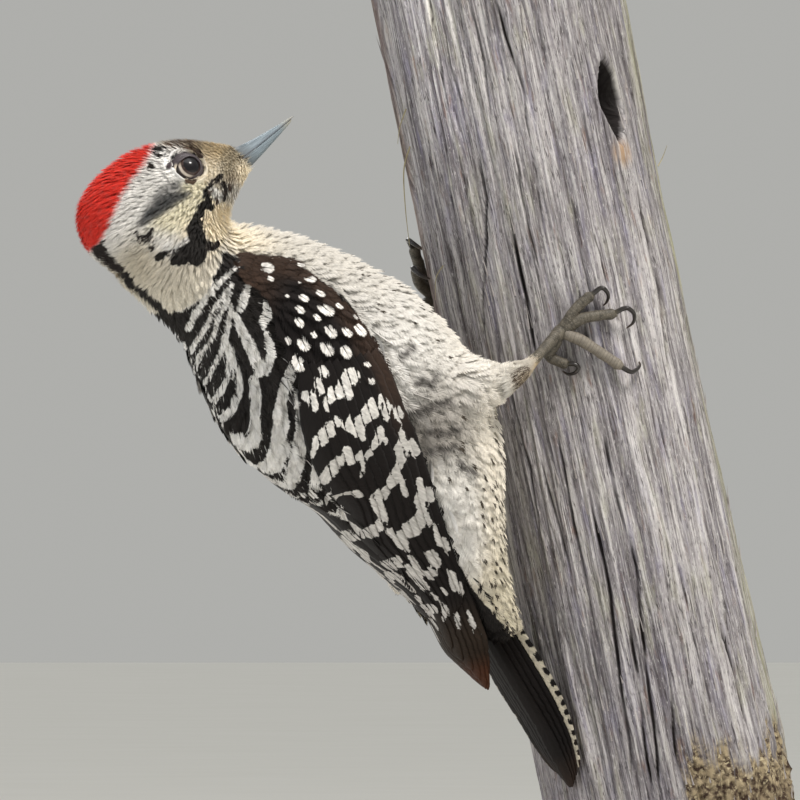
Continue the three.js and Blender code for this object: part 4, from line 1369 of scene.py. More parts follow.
def blade(place_at, width, seed, tip_from, tip_power, thick=0.10):
    """A long solid feather. place_at(t, mm from the outer edge, rise) gives points in the perch's frame."""
    random = np.random.default_rng(seed)
    t = np.linspace(0, 1, BLADE_ALONG)
    u = np.linspace(0, 1, BLADE_ACROSS)
    past = np.clip((t - tip_from) / (1 - tip_from), 0, 1)
    full = (1 - past ** tip_power) ** 0.5 * smooth_step(-0.12, 0.12, t)
    full = np.maximum(full, 0.02)
    edge = random.normal(0, 0.03, (len(t), 2))
    for _ in range(3):
        split = random.integers(12, len(t) - 6)
        edge[split:split + 2, random.integers(0, 2)] -= 0.10
    wide = width * np.interp(t, [0, 0.25, 1], [0.75, 1, 1])
    outer = wide * (TIP_AT - TIP_AT * full * (1 + edge[:, 0]))
    inner = wide * (TIP_AT + (1 - TIP_AT) * full * (1 + edge[:, 1]))
    mm = outer[:, None] + (inner - outer)[:, None] * u
    ridge = 0.10 * np.exp(-((u - SHAFT_AT) / 0.06) ** 2) * (1 - t[:, None] ** 2)
    camber = 0.12 * (1 - (2 * u - 1) ** 2)
    top = place_at(np.repeat(t[:, None], len(u), 1), mm, ridge + camber)
    bottom = place_at(np.repeat(t[:, None], len(u) - 2, 1), mm[:, 1:-1], (ridge + camber)[:, 1:-1] - thick)
    ring = np.concatenate([top, bottom[:, ::-1]], 1)
    count = ring.shape[1]
    across = np.concatenate([u, u[1:-1][::-1]])
    vane = np.stack([np.broadcast_to((across - SHAFT_AT)[None] * wide[:, None], ring.shape[:2]),
                     np.broadcast_to(t[:, None], ring.shape[:2])], -1)
    return ring.reshape(-1, 3), ring_faces(len(t), count), vane.reshape(-1, 2)


def join_blades(name, blades, values):
    """One piece from many blades, each with its own strip of the unwrap."""
    places = []
    for number, (_, _, v) in enumerate(blades):
        spread = (v[:, 0] - v[:, 0].min()) / (np.ptp(v[:, 0]) + 1e-9)
        places.append(np.stack([(number + 0.06 + 0.88 * spread) / len(blades), 0.01 + 0.98 * v[:, 1]], -1))
    piece = make_mesh(name, *join_parts(blades))
    set_uv(piece, np.concatenate(places)[corner_points(piece)])
    set_values(piece, "across", np.concatenate([v[:, 0] for _, _, v in blades]))
    for key, value in values.items():
        set_values(piece, key, value)
    return piece


# %% Lay the flight feathers
SECONDARY_TIPS = [11.0, 11.5, 11.8, 12.0, 12.15, 12.2, 12.2, 12.15, 12.05, 11.9]
SECONDARY_ROOTS = np.linspace(4.6, 5.6, 10)
PRIMARY_TIPS = [13.0, 13.5, 13.95, 14.3, 14.6, 14.65, 14.3]
BLADE_TILT = 0.13
TIP_LIFT = 2.5  # mm, how far the closed wing's tip stands off the rump


def folded_inner(station, sign):
    """The tips of the folded wings meet over the back; the right wing lies over the left."""
    return wing_inner(station) - smooth_step(8.8, 10.4, station) * (17 if sign > 0 else 3)


def wing_blade(sign, share, root_station, tip_station, top):
    """Places a blade whose outer edge runs at a share of the way from the wing's inner to outer edge."""
    def place_at(t, mm, rise):
        station = root_station + (tip_station - root_station) * t
        edge = folded_inner(station, sign)
        edge = edge + (wing_outer(station) - edge) * share
        angle = edge - mm / (blend(SECTIONS[:, 3], station) * math.radians(1))
        sunk = 0.0 if sign > 0 else 0.9 * smooth_step(4.5, 6, station) * smooth_step(10.5, 9, station)
        high = top - BLADE_TILT * mm + rise - sunk + TIP_LIFT * smooth_step(11.8, 13.4, station)
        return body_point(station, sign * angle, high)
    return place_at


def wing_ink(station, angle, across, sign):
    """Distance inside the dark on the flight feathers: bars cut by the dark shafts."""
    bars = WING_BARS if sign > 0 else WING_BARS + UNDER_WING_BARS
    shaft = 0.05 - np.abs(across)
    return np.maximum(-strokes_inside(station, sign * angle, bars) - WHITE_SPREAD, shaft)


flight_pieces = []
for side, sign in LEGS.items():
    blades = []
    for k in range(10):
        place_at = wing_blade(sign, 0.24 + 0.76 * k / 9, SECONDARY_ROOTS[k], SECONDARY_TIPS[k], -0.35)
        blades.append(blade(place_at, 5.4, 100 + k, 0.86 if k > 2 else 0.80, 2.0))
    for k in range(len(PRIMARY_TIPS)):
        share = 0.16 + 0.84 * (k + 1) / len(PRIMARY_TIPS)
        top = -0.70 - 0.08 * k + (0.25 if sign > 0 else 0)
        place_at = wing_blade(sign, share, 8.6, PRIMARY_TIPS[k], top)
        blades.append(blade(place_at, 3.8, 130 + k, 0.80, 1.6))
    points = np.concatenate([b[0] for b in blades])
    vanes = np.concatenate([b[2] for b in blades])
    number = np.repeat(np.arange(len(blades)), [len(b[0]) for b in blades])
    tone = np.random.default_rng(3).uniform(0.88, 1.1, len(blades))[number]
    station, angle, _ = body_map(points)
    shift = np.random.default_rng(4).normal(0, 0.05, len(blades))[number]
    ink = wing_ink(station + shift, angle, vanes[:, 0], sign)
    ink = np.where(station > 13.3, 3.0, ink)
    brown = smooth_step(11.7, 12.8, station)[:, None]
    rust = smooth_step(13.3, 14.2, station)[:, None]
    dark = (WING_DARK * (1 - brown) + WING_TIP * brown) * (1 - rust) + WING_RUST * rust
    from_edge = (wing_outer(station) - np.abs(angle)) * 0.33
    warm = (0.8 * smooth_step(4.5, 1.5, from_edge) * smooth_step(8.0, 6.0, station))[:, None]
    dark = dark * (1 - warm) + LESSER_BROWN * warm
    # The white of the flight feathers is made up to 30% greyer from station 5.8 to 7.5 and on towards the
    # tips.
    dulled = 1 - 0.30 * smooth_step(5.8, 7.5, station)[:, None]
    values = {"ground": WING_GROUND * dulled, "dark": dark, "ink": ink, "shade": tone}
    values["along"] = vanes[:, 1] * 50
    piece = join_blades(f"flight_feathers_{side}", blades, values)
    flight_pieces.append(piece)
    print(piece.name, len(piece.data.polygons), "triangles")

# %% Lay the coverts
def wing_normal(station, angle):
    """A place on the wing's outline, and the way out from it."""
    here = body_point(station, angle)
    turn = np.radians(angle)
    _, _, back = spine(station)
    depth = blend(SECTIONS[:, 2], station)
    width = blend(SECTIONS[:, 3], station)
    out = back * (np.cos(turn) / depth)[:, None]
    out[:, 1] += np.sin(turn) / width
    return here, unit(out)


def covert_list(sign):
    """Tip places, lengths, widths, spot sizes and rises of the coverts of one wing."""
    random = np.random.default_rng(31)
    rows = []
    for station, angle, size in COVERT_SPOTS:
        rows.append((station + 0.15, angle, 5.2 + 1.2 * size, 1.25 + 0.6 * size, size * 1.13, -0.05))
    tries = np.stack([random.uniform(2.5, 6.5, 9000), random.uniform(30, 108, 9000)], -1)
    inner = wing_inner(tries[:, 0]) + np.interp(tries[:, 0], [2.5, 4, 6], [3, 10, 15])
    outer = wing_outer(tries[:, 0]) - 1.5
    tries = tries[(tries[:, 1] > inner) & (tries[:, 1] < outer)]
    flat = np.stack([*rolled_out(tries[:, 0], tries[:, 1]), np.zeros(len(tries))], -1)
    small = smooth_step(4.2, 3.0, tries[:, 0] + (tries[:, 1] - 70) * -0.02)
    kept = thin_out(flat, 1.9 - 0.7 * small, 32)
    for i in kept:
        station, angle = tries[i]
        rise = -0.42 - 0.25 * (1 - small[i])
        rows.append((station, angle, 7.5 - 3.4 * small[i], 2.0 - 0.7 * small[i], 0.0, rise))
    rows = np.array(rows)
    tip_station, tip_angle, long, wide, size, rise = rows.T
    root_station = np.interp(length_at(tip_station) - long, SPINE_LENGTH, SPINE_STEPS)
    slant = (tip_angle - wing_inner(tip_station)) / (wing_outer(tip_station) - wing_inner(tip_station))
    root_angle = wing_inner(root_station) + slant * (wing_outer(root_station) - wing_inner(root_station))
    root_angle = np.clip(root_angle, tip_angle - 4, tip_angle + 14)
    low, normal = wing_normal(root_station, sign * root_angle)
    high, normal_tip = wing_normal(tip_station, sign * tip_angle)
    start = low - normal * 1.1
    end = high + normal_tip * (rise + random.normal(0, 0.06, len(rise)))[:, None]
    way = end - start
    way = unit(way - normal * (way * normal).sum(1)[:, None])
    reach = end - start
    flat_length = (reach * way).sum(1)
    bend_by = reach - way * flat_length[:, None]
    return start, way, normal, flat_length, wide, bend_by, size


covert_pieces = []
for side, sign in LEGS.items():
    start, way, normal, long, wide, bend_by, size = covert_list(sign)
    choice = np.random.default_rng(33).integers(0, len(COVERT), len(start))
    points, owners, vanes = set_down(COVERT, choice, start, way, normal, long, wide, bend_by,
                                     np.full(len(start), 19.0), 0.08)
    station, angle, _ = body_map(points)
    x = vanes[:, 0] * wide[owners]
    y = (vanes[:, 1] - 0.97) * long[owners] + size[owners] * 0.95
    spot = np.where(size[owners] > 0, size[owners] - np.hypot(x * 1.05, y), FAR_OUTSIDE)
    bars = strokes_inside(station, np.abs(angle), WING_BARS)
    bars = np.where(station > 4.9, bars + WHITE_SPREAD, FAR_OUTSIDE)
    ink = -np.maximum(spot, bars)
    from_edge = np.abs(wing_outer(station) - np.abs(angle)) * 0.33
    brown = np.clip(smooth_step(3.6, 2.7, station) + smooth_step(6, 2.5, from_edge) * 0.8, 0, 1)
    dark = WING_DARK * (1 - brown[:, None]) + LESSER_BROWN * brown[:, None]
    tone = np.random.default_rng(34).uniform(0.85, 1.12, len(start))[owners]
    # Painted shade: each covert is darker towards its root, under the coverts that lie over it.
    shade = tone * (0.7 + 0.3 * smooth_step(0.1, 0.6, vanes[:, 1]))
    values = {"ground": np.tile(WING_GROUND, (len(points), 1)), "dark": dark, "ink": ink, "shade": shade}
    sizes = np.stack([long, wide], -1)[owners]
    covert_pieces.append(make_coat(f"coverts_{side}", points, vanes, owners, start, sizes, values))
    print(covert_pieces[-1].name, len(start), "feathers", len(covert_pieces[-1].data.polygons), "triangles")

# %% [markdown]
# ## The tail
#
# A woodpecker props itself on its tail. The feathers are stiff and pointed, the middle pair longest and
# black, the outer ones pale and barred. They are the same solid blades as the wing's, stacked on the
# tail's own line.

# %% Lay the tail feathers
# out, up, half-widths to the right and left, half-thickness, drift of the tip to the right
TAIL_LINE = np.array([
    (36.0, -33.0, 6.6, 6.6, 1.5, 0.0), (33.6, -40.0, 8.0, 8.0, 1.5, 0.0), (29.4, -50.0, 8.2, 8.4, 1.3, 0.0),
    (26.6, -57.0, 7.0, 7.9, 1.1, 0.2), (25.1, -64.0, 4.9, 6.6, 0.8, 1.0), (24.6, -70.0, 2.2, 3.2, 0.5, 2.3),
])
# offset as a share of the half-width, length share, feather width, share of pale edge
TAIL_FEATHERS = [(0.04, 1.0, 4.2, 0.0), (0.20, 0.975, 4.4, 0.0), (0.36, 0.95, 4.4, 0.0),
                 (0.50, 0.92, 4.2, 0.0), (0.75, 0.88, 4.2, 0.75)]
TAIL_WHITE = linear("#d9d2bd")
TAIL_BLACK = linear("#14100f")


def tail_place(sign, offset, long, layer):
    def place_at(t, mm, rise):
        row = np.clip(t * long, 0, 1) * (len(TAIL_LINE) - 1)
        out = blend(TAIL_LINE[:, 0], row)
        up = blend(TAIL_LINE[:, 1], row)
        half = blend(TAIL_LINE[:, 2 if sign > 0 else 3], row)
        thick = blend(TAIL_LINE[:, 4], row)
        drift = blend(TAIL_LINE[:, 5], row)
        ahead = np.minimum(row + 0.1, len(TAIL_LINE) - 1)
        along = np.stack([blend(TAIL_LINE[:, 0], ahead) - out, blend(TAIL_LINE[:, 1], ahead) - up], -1)
        along = along / (np.linalg.norm(along, axis=-1, keepdims=True) + 1e-9)
        end = row > len(TAIL_LINE) - 1.11
        along = np.where(end[..., None], np.array([-0.083, -0.9965]), along)
        face = np.stack([-along[..., 1], along[..., 0]], -1)
        side_mm = np.clip(half * offset, 0, None) + 2.0 - mm
        side_mm = np.minimum(side_mm, half - 0.05)
        lift = (thick - 0.30 - layer - 0.025 * side_mm ** 2 * 0.5) + rise
        return np.stack([out + face[..., 0] * lift, sign * side_mm + drift, up + face[..., 1] * lift], -1)
    return place_at


tail_blades = []
tail_values = {"ground": [], "dark": [], "ink": [], "shade": [], "along": []}
for sign in (1, -1):
    for k, (offset, long, wide, pale) in enumerate(TAIL_FEATHERS):
        p, f, v = blade(tail_place(sign, offset, long, 0.30 * k + (0.12 if sign < 0 else 0)), wide,
                        160 + k, 0.70, 1.4, 0.16)
        tail_blades.append((p, f, v))
        along = v[:, 1] * 38 * long
        if pale > 0.5:
            dash = 0.46 - np.abs((along / 2.1) % 1 - 0.5) * 2.1
            pale_edge = 0.75 if sign > 0 else -1.1
            ink = np.maximum(v[:, 0] - pale_edge, np.minimum(dash, -0.55 - v[:, 0]))
        else:
            bar = np.abs((along / 4.6 + 0.3 * k) % 1 - 0.5) * 4.6
            ink = np.where((v[:, 0] < 0) & (pale > 0) & (along > 24), 0.9 - bar, 2.0)
            ink = np.maximum(ink, 0.2 - np.abs(v[:, 0]))
        tail_values["ink"].append(ink)
        tail_values["along"].append(along)
        tail_values["ground"].append(np.tile(TAIL_WHITE, (len(p), 1)))
        brown = smooth_step(0.75, 1.0, v[:, 1])[:, None] * 0.5
        tail_values["dark"].append(TAIL_BLACK * (1 - brown) + BROWN * brown)
        tail_values["shade"].append(np.full(len(p), 1.0 - 0.03 * k))
tail_values = {key: np.concatenate(value) for key, value in tail_values.items()}
tail_feathers = join_blades("tail_feathers", tail_blades, tail_values)
print(tail_feathers.name, len(tail_feathers.data.polygons), "triangles")

# %% [markdown]
# ## Eyes and lids
#
# A woodpecker's eyeball is large, but its lids show only a small round of it. The ball is a sphere with a
# slightly raised cornea, and each point knows how far it is from the middle of the pupil. The lids are a
# thin bare ring of folds that hugs the ball and hides its edge, and the face feathers begin outside it.

# %% Turn a profile into rings round an axis
def axis_frame(axis, upward):
    axis = unit(axis)
    side = unit(np.cross(upward, axis))
    return axis, side, np.cross(axis, side)


EYE_RADIUS = 3.3
EYE_OPENING = 2.25  # mm, half the width of the opening between the lids
PUPIL = 1.58


def eye_axis(side):
    sign = LEGS[side]
    return unit(np.array([0.16, -sign * 1.0, 0.06]))


def eyeball(side):
    """The ball looks a little farther forward than its opening, so the pupil sits near the front lid."""
    gaze = eye_axis(side) + np.array([0.20, 0, 0.05])
    axis, right, up = axis_frame(gaze, np.array([0, 0, 1.0]))
    polar = np.linspace(0.004, math.pi - 0.004, 72)
    around = 64
    turn = np.linspace(0, 2 * math.pi, around, endpoint=False)
    radius = EYE_RADIUS + 0.16 * smooth_step(0.62, 0.0, polar)
    flat = right * np.cos(turn)[:, None] + up * np.sin(turn)[:, None]
    ring = axis[None, None] * np.cos(polar)[:, None, None] + np.sin(polar)[:, None, None] * flat[None]
    points = (EYE_AT[side] + ring * radius[:, None, None]).reshape(-1, 3)
    faces = outward(points, ring_faces(len(polar), around))
    piece = make_mesh(f"eyeball_{side}", head_to_perch(points), faces)
    set_values(piece, "off_axis", np.repeat(np.sin(polar) * radius + (polar > 1.57) * 9, around))
    offset = points - EYE_AT[side]
    across = offset - np.outer(offset @ axis, axis)
    behind = (-0.98 * across[:, 0] - 0.17 * across[:, 2]) / 2.15
    set_values(piece, "crescent", smooth_step(0.30, 0.85, behind))
    return piece


def lids(side):
    """A nearly round ring of bare folded skin between the eyeball and the feathers, pointed behind."""
    axis, right, up = axis_frame(eye_axis(side), np.array([0, 0, 1.0]))
    around, across = 128, 26
    turn = np.linspace(0, 2 * math.pi, around, endpoint=False)
    behind = np.cos(turn) * (1 if right[0] < 0 else -1)
    opening = EYE_OPENING * (1 + 0.20 * np.maximum(behind, 0) ** 3 - 0.17 * np.abs(np.sin(turn)) ** 3)
    rows = []
    for k in range(across):
        share = k / (across - 1)
        out = opening + 1.75 * share ** 1.1
        base = np.sqrt(np.maximum((EYE_RADIUS + 0.20) ** 2 - out ** 2, 0.2))
        rim = 0.20 * math.exp(-(share / 0.11) ** 2) + 0.10 * math.exp(-((share - 0.36) / 0.10) ** 2)
        beads = 0.035 * np.sin(turn * 34 + 1.7 * math.sin(share * 9))
        beads = beads * math.sin(math.pi * min(share * 2.2, 1))
        drop = -0.10 * max(0.0, 0.10 - share) * 10
        high = base + rim + beads + drop - 0.12 * share
        rows.append(axis * high[:, None] + out[:, None] * (right * np.cos(turn)[:, None]
                                                           + up * np.sin(turn)[:, None]))
    for k in range(6):  # the hidden inside, to close the ring
        share = 1 - k / 5
        out = opening + 0.06 + 1.69 * share
        high = np.sqrt(np.maximum((EYE_RADIUS - 0.25) ** 2 - out ** 2, 0.1)) - 0.1
        rows.append(axis * high[:, None] + out[:, None] * (right * np.cos(turn)[:, None]
                                                           + up * np.sin(turn)[:, None]))
    points = (EYE_AT[side] + np.array(rows)).reshape(-1, 3)
    return make_mesh(f"lids_{side}", head_to_perch(points), wall_faces(len(rows), around, True))


eyeballs = {side: eyeball(side) for side in LEGS}
eyelids = {}
for side in LEGS:
    piece = lids(side)
    points = perch_to_head(get_points(piece))
    volume_faces = np.array([p.vertices[:] for p in piece.data.polygons])
    if signed_volume(points - EYE_AT[side], volume_faces) < 0:
        piece.data.flip_normals()
    off = points - EYE_AT[side]
    axis = eye_axis(side)
    flat = off - (off @ axis)[:, None] * axis
    out = np.linalg.norm(flat, axis=1)
    low_behind = smooth_step(0.3, 1.3, -0.9 * flat[:, 0] - 0.45 * flat[:, 2])
    set_values(piece, "from_rim", out - EYE_OPENING)
    set_values(piece, "crescent", low_behind)
    eyelids[side] = piece
    print(piece.name, len(piece.data.polygons), "triangles")

# %% [markdown]
# ## The bill
#
# The bill is a straight chisel. Each half is lofted from half-rounded sections that shrink to the tip, with
# a ridge along the top and a low side ridge from the nostril. The horn begins inside the nasal feathers.

# %% Loft the bill halves
# forward, top, bottom, half-width, all in mm in the head's frame
BILL_UPPER = np.array([
    (-0.6, 2.3, -0.5, 2.5), (0.6, 2.15, -0.38, 2.45), (1.8, 1.95, -0.31, 2.27), (4.75, 1.5, -0.19, 1.70),
    (7.7, 1.2, 0.02, 1.24), (10.65, 0.98, 0.28, 0.82), (12.6, 0.85, 0.46, 0.52), (13.45, 0.78, 0.56, 0.34),
    (13.8, 0.72, 0.62, 0.16),
])
BILL_LOWER = np.array([
    (-0.6, -0.5, -3.0, 2.4), (0.6, -0.42, -2.75, 2.4), (1.8, -0.35, -2.45, 2.2), (4.6, -0.23, -1.88, 1.62),
    (7.35, -0.02, -1.27, 1.17), (10.1, 0.22, -0.62, 0.76), (12.0, 0.38, -0.16, 0.48), (12.8, 0.47, 0.10, 0.30),
    (13.1, 0.50, 0.38, 0.12),
])


def bill_half(name, table, sign):
    steps, around = 110, 56
    row = np.linspace(0, len(table) - 1, steps)
    forward, top, bottom, wide = (blend(table[:, k], row) for k in range(4))
    low, high = (bottom, top) if sign > 0 else (top, bottom)
    phi = np.linspace(-math.pi / 2, math.pi / 2, around - 14)
    tall = (high - low)[:, None] * np.cos(phi)[None] ** 0.86
    side = wide[:, None] * np.sign(np.sin(phi)) * np.abs(np.sin(phi)) ** 0.95
    ridge = 0.09 * np.exp(-((np.abs(np.degrees(phi)) - 47) / 9) ** 2)[None]
    ridge = ridge * smooth_step(13, 9, forward)[:, None] * (1.0 if sign > 0 else 0.35)
    z = low[:, None] + tall * (1 + 0.4 * ridge)
    y = side * (1 + ridge)
    if sign > 0:
        for nostril in (-1, 1):
            away = ((forward[:, None] - 2.35) / 0.85) ** 2 + ((y - nostril * 1.25) / 0.28) ** 2
            z = z - 0.34 * np.exp(-away)
    flat_y = np.linspace(1, -1, 16)[1:-1][None] * wide[:, None]
    flat_z = low[:, None] + 0.10 * sign * (1 - (flat_y / wide[:, None]) ** 2)
    ys = np.concatenate([y, flat_y], 1)
    zs = np.concatenate([z, flat_z], 1)
    xs = np.repeat(forward[:, None], ys.shape[1], 1)
    points = np.stack([xs, ys, zs], -1).reshape(-1, 3)
    faces = outward(points, ring_faces(steps, ys.shape[1]))
    piece = make_mesh(name, head_to_perch(points), faces)
    set_values(piece, "forward", points[:, 0])
    set_values(piece, "height", points[:, 2])
    print(piece.name, len(faces), "triangles")
    return piece


bill_pieces = {"bill_upper": bill_half("upper_bill_horn", BILL_UPPER, 1),
               "bill_lower": bill_half("lower_bill_horn", BILL_LOWER, -1)}

# %% Lay the nasal tufts and chin feathers forward over the horn
def bristles():
    random = np.random.default_rng(51)
    starts, tips = [], []
    for layer in range(5):
        for k in range(44):
            turn = 2 * math.pi * (k + random.uniform(-0.4, 0.4)) / 44
            back = -3.3 + 0.52 * layer + random.uniform(-0.2, 0.2)
            wide = 2.75 - 0.06 * layer - 0.16 * back
            base = np.array([back, wide * math.cos(turn), -0.25 + (2.75 - 0.16 * back) * math.sin(turn)])
            below = max(0.0, -math.sin(turn))
            on_side = abs(math.cos(turn))
            reach = 2.2 + 0.7 * on_side + 0.9 * below + random.uniform(-0.4, 0.4)
            ahead = back + reach
            shrink = np.interp(ahead, [-2, 0, 2, 5], [1.12, 1.06, 0.98, 0.80])
            tip = np.array([ahead, base[1] * shrink * 0.92, -0.25 + (base[2] + 0.25) * shrink * 0.92])
            starts.append(base * [1, 0.86, 0.86])
            tips.append(tip + random.normal(0, 0.12, 3))
    starts, tips = np.array(starts), np.array(tips)
    out = starts * [0, 1, 1] + [0, 0, 0.25]
    normal = unit(out) @ HEAD_AXES
    begin, end = head_to_perch(starts), head_to_perch(tips)
    way = end - begin
    long = np.linalg.norm(way, axis=1)
    way = unit(way)
    normal = unit(normal - way * (normal * way).sum(1)[:, None])
    arch = normal * (-0.25 * random.uniform(0.5, 1.2, len(long)))[:, None]
    choice = random.integers(0, len(STRANDS), len(long))
    wide = np.full(len(long), 0.36)
    points, owners, vanes = set_down(STRANDS, choice, begin + normal * 0.35, way, normal, long, wide, arch,
                                     np.full(len(long), 3.0), 0.12)
    local = perch_to_head(points)
    below = smooth_step(0.0, -2.2, local[:, 2])
    above = smooth_step(0.8, 2.2, local[:, 2])
    grey = smooth_step(-3.2, -1.4, local[:, 0]) * (1 - 0.65 * below)
    ground = BUFF * (1 - below[:, None]) + THROAT_WITH_PAINTED_LIGHT * below[:, None]
    ground = ground * (1 - grey[:, None] * 0.8) + BILL_BASE * grey[:, None] * 0.8
    dark = np.tile(linear("#4c4338"), (len(points), 1))
    speckle = random.uniform(-1, 0.55, len(long))[owners] - 0.25 + 0.5 * above - 0.6 * below
    tone = random.uniform(0.82, 1.1, len(long))[owners]
    # Painted shade: each tuft is darker towards its root, where the tufts over it shade it.
    shade = tone * (0.7 + 0.3 * smooth_step(0.0, 0.5, vanes[:, 1]))
    values = {"ground": ground, "dark": dark, "ink": speckle * 0.5, "shade": shade}
    size = np.stack([long, wide], -1)[owners]
    return make_coat("nasal_tufts", points, vanes, owners, begin, size, values)


nasal_tufts = bristles()
print(nasal_tufts.name, len(nasal_tufts.data.polygons), "triangles")

# %% [markdown]
# ## Legs, toes and claws
#
# Woodpeckers climb with two toes forward and two back. The shank and toes are covered in scutes, which are
# overlapping horny plates like a row of roof tiles. Each toe is a tube whose upper side steps up at every
# scute and whose underside swells into pads at the joints. Claws are sharp curved tubes of black horn.

# %% Build tubes with scutes
def tube(path, radius, around, shape=None, flat=1.0):
    """A tube whose first corner of each ring points away from the trunk's axis."""
    ahead = unit(np.gradient(path, axis=0))
    out = path * [1, 1, 0]
    out = unit(out - ahead * (out * ahead).sum(1)[:, None])
    side = np.cross(ahead, out)
    turn = np.linspace(0, 2 * math.pi, around, endpoint=False)
    size = np.repeat(np.asarray(radius)[:, None], around, 1)
    if shape is not None:
        size = size * shape(np.arange(len(path)) / (len(path) - 1), turn)
    points = (path[:, None] + out[:, None] * (size * np.cos(turn))[..., None]
              + side[:, None] * (size * flat * np.sin(turn))[..., None])
    return points.reshape(-1, 3), np.repeat(np.linspace(0, 1, len(path)), around), np.tile(turn, len(path))


SCUTE_DEPTH = 0.085  # as a share of the toe's radius


def scutes(length, plate, joints):
    """Raised plates above and pads below, as a factor on a tube's radius."""
    def shape(share, turn):
        step = (share * length / plate) % 1
        tile = SCUTE_DEPTH * (step ** 0.55 - 0.35 - 1.1 * np.exp(-((step - 0.02) / 0.07) ** 2))
        above = np.clip(np.cos(turn), 0, 1) ** 0.45
        row = np.floor(share * length / plate)[:, None]
        beads = 0.03 * np.sin(turn * 9 + 3 * row) * (np.cos(turn) < 0.25)
        pads = sum(0.20 * np.exp(-((share - joint) / 0.085) ** 2) for joint in joints)
        creases = 0.05 * np.sin(share * length / 0.30 * 2 * math.pi)
        below = np.clip(-np.cos(turn), 0, 1) ** 0.7
        knuckles = 0.5 * pads[:, None] * np.abs(np.sin(turn)) * 0.4
        return 1 + tile[:, None] * above + beads + (pads + creases)[:, None] * below + knuckles
    return shape


# Each toe: turn and height of its knuckle and end, lift of the knuckle, then (turn, height, mm off the wood)
# along its claw.
FEET = {
    "right": {
        "1": ((38.2, 9.4), (45.5, 7.0), 0.2,
              [(48.2, 7.0, 1.7), (49.6, 6.2, 1.7), (47.8, 5.4, 1.5), (44.5, 5.4, 0.9), (42.0, 6.2, 0.0)]),
        "2": ((54.5, 17.2), (62, 19.0), 0.7,
              [(65.5, 19.8, 2.3), (67.5, 19.2, 2.5), (68.5, 18.0, 1.9), (68.0, 17.0, 0.7), (66.5, 16.5, 0.0)]),
        "3": ((56.5, 15.0), (70.5, 14.6), 0.7,
              [(73.5, 15.2, 2.4), (75.5, 15.0, 2.8), (78, 13.8, 2.3), (78, 12.3, 1.3), (75.5, 11.5, 0.0)]),
        "4": ((54.5, 10.5), (68.3, 4.6), 0.6,
              [(71, 3.5, 2.0), (74, 3.5, 1.7), (77.5, 4.2, 0.8), (78.5, 5.0, 0.0)])},
    "left": {
        "1": ((-58, 22.6), (-57, 19.8), 0.6,
              [(-57, 18.6, 1.9), (-58, 17.4, 2.1), (-61, 16.9, 1.2), (-63, 17.1, 0.0)]),
        "2": ((-50, 28), (-42, 30.4), 1.6,
              [(-39, 30.8, 2.7), (-36.5, 30.2, 2.5), (-35, 29, 1.5), (-35, 28, 0.0)]),
        "3": ((-56, 30), (-48, 34.6), 1.6,
              [(-45, 35.9, 2.7), (-42, 36, 2.5), (-40, 35, 1.5), (-40, 33.5, 0.0)]),
        "4": ((-70, 24.6), (-84, 22.4), 0.8,
              [(-88, 22, 2.1), (-91, 21, 1.8), (-92.5, 19.8, 0.8), (-92, 18.8, 0.0)])},
}
TOE_AROUND = 20
SCUTE_PLATE = 0.62  # mm, the length of one plate on a toe


def foot(side):
    """The bare shank and the four toes, each a tube of scutes, as one piece."""
    path, past = SHANKS[side]
    palm = path[-1]
    path = path[past > -2.5]
    share = np.linspace(0, 1, len(path))
    long = lengths_along(path)[-1]
    parts = [(*tube(path, np.interp(share, [0, 0.2, 0.6, 0.9, 1], [1.0, 1.0, 0.98, 1.15, 1.3]), TOE_AROUND,
                    scutes(long, 1.05, [0.95])), long, 0.0)]
    for name, (knuckle, end, lift, _) in FEET[side].items():
        places = [palm + unit(palm - on_trunk(*knuckle, 1.3 + lift)) * 0.3, on_trunk(*knuckle, 1.35 + lift),
                  on_trunk(*end, 1.15 + lift * 0.8)]
        middle = places[0] * 0.5 + places[1] * 0.5 + unit(places[1] * [1, 1, 0]) * 0.25
        path, long = curve_through([places[0], middle, places[1], places[2]], 98)
        share = np.linspace(0, 1, len(path))
        radius = np.interp(share, [0, 0.4, 0.75, 0.93, 1], [1.15, 1.05, 0.95, 0.98, 0.62])
        joints = [0.38, 0.68, 0.93] if long > 5 else [0.5, 0.9]
        toe = tube(path, radius, TOE_AROUND, scutes(long, SCUTE_PLATE, joints))
        parts.append((*toe, long, float(name == "4")))
    shells = [(points, ring_faces(len(points) // TOE_AROUND, TOE_AROUND)) for points, *_ in parts]
    piece = make_mesh(f"scaled_foot_{side}", *join_parts(shells))
    set_values(piece, "along", np.concatenate([share * long for _, share, _, long, _ in parts]))
    set_values(piece, "above", np.cos(np.concatenate([turn for _, _, turn, _, _ in parts])))
    # Toe 4 is marked for a paler tinge.
    set_values(piece, "worn", np.concatenate([np.full(len(turn), pale) for _, _, turn, _, pale in parts]))
    print(piece.name, len(piece.data.vertices), "points")
    return piece


def claw(side, name):
    """A sharp hook of horn that follows its listed places and ends on the wood."""
    knuckle, end, lift, places = FEET[side][name]
    start = on_trunk(*end, 1.15 + lift * 0.8)
    ahead = unit(start - on_trunk(*knuckle, 1.35 + lift))
    path, _ = curve_through([start - ahead * 0.6, *(on_trunk(*place) for place in places)], 60)
    share = np.linspace(0, 1, 60)
    radius = 0.60 * (1 - share) ** 0.45 + 0.05
    points, along, _ = tube(path, radius, 24, None, 0.8)
    piece = make_mesh(f"horn_claw_{side}_{name}", points, outward(points, ring_faces(60, 24)))
    set_values(piece, "along", along)
    return piece


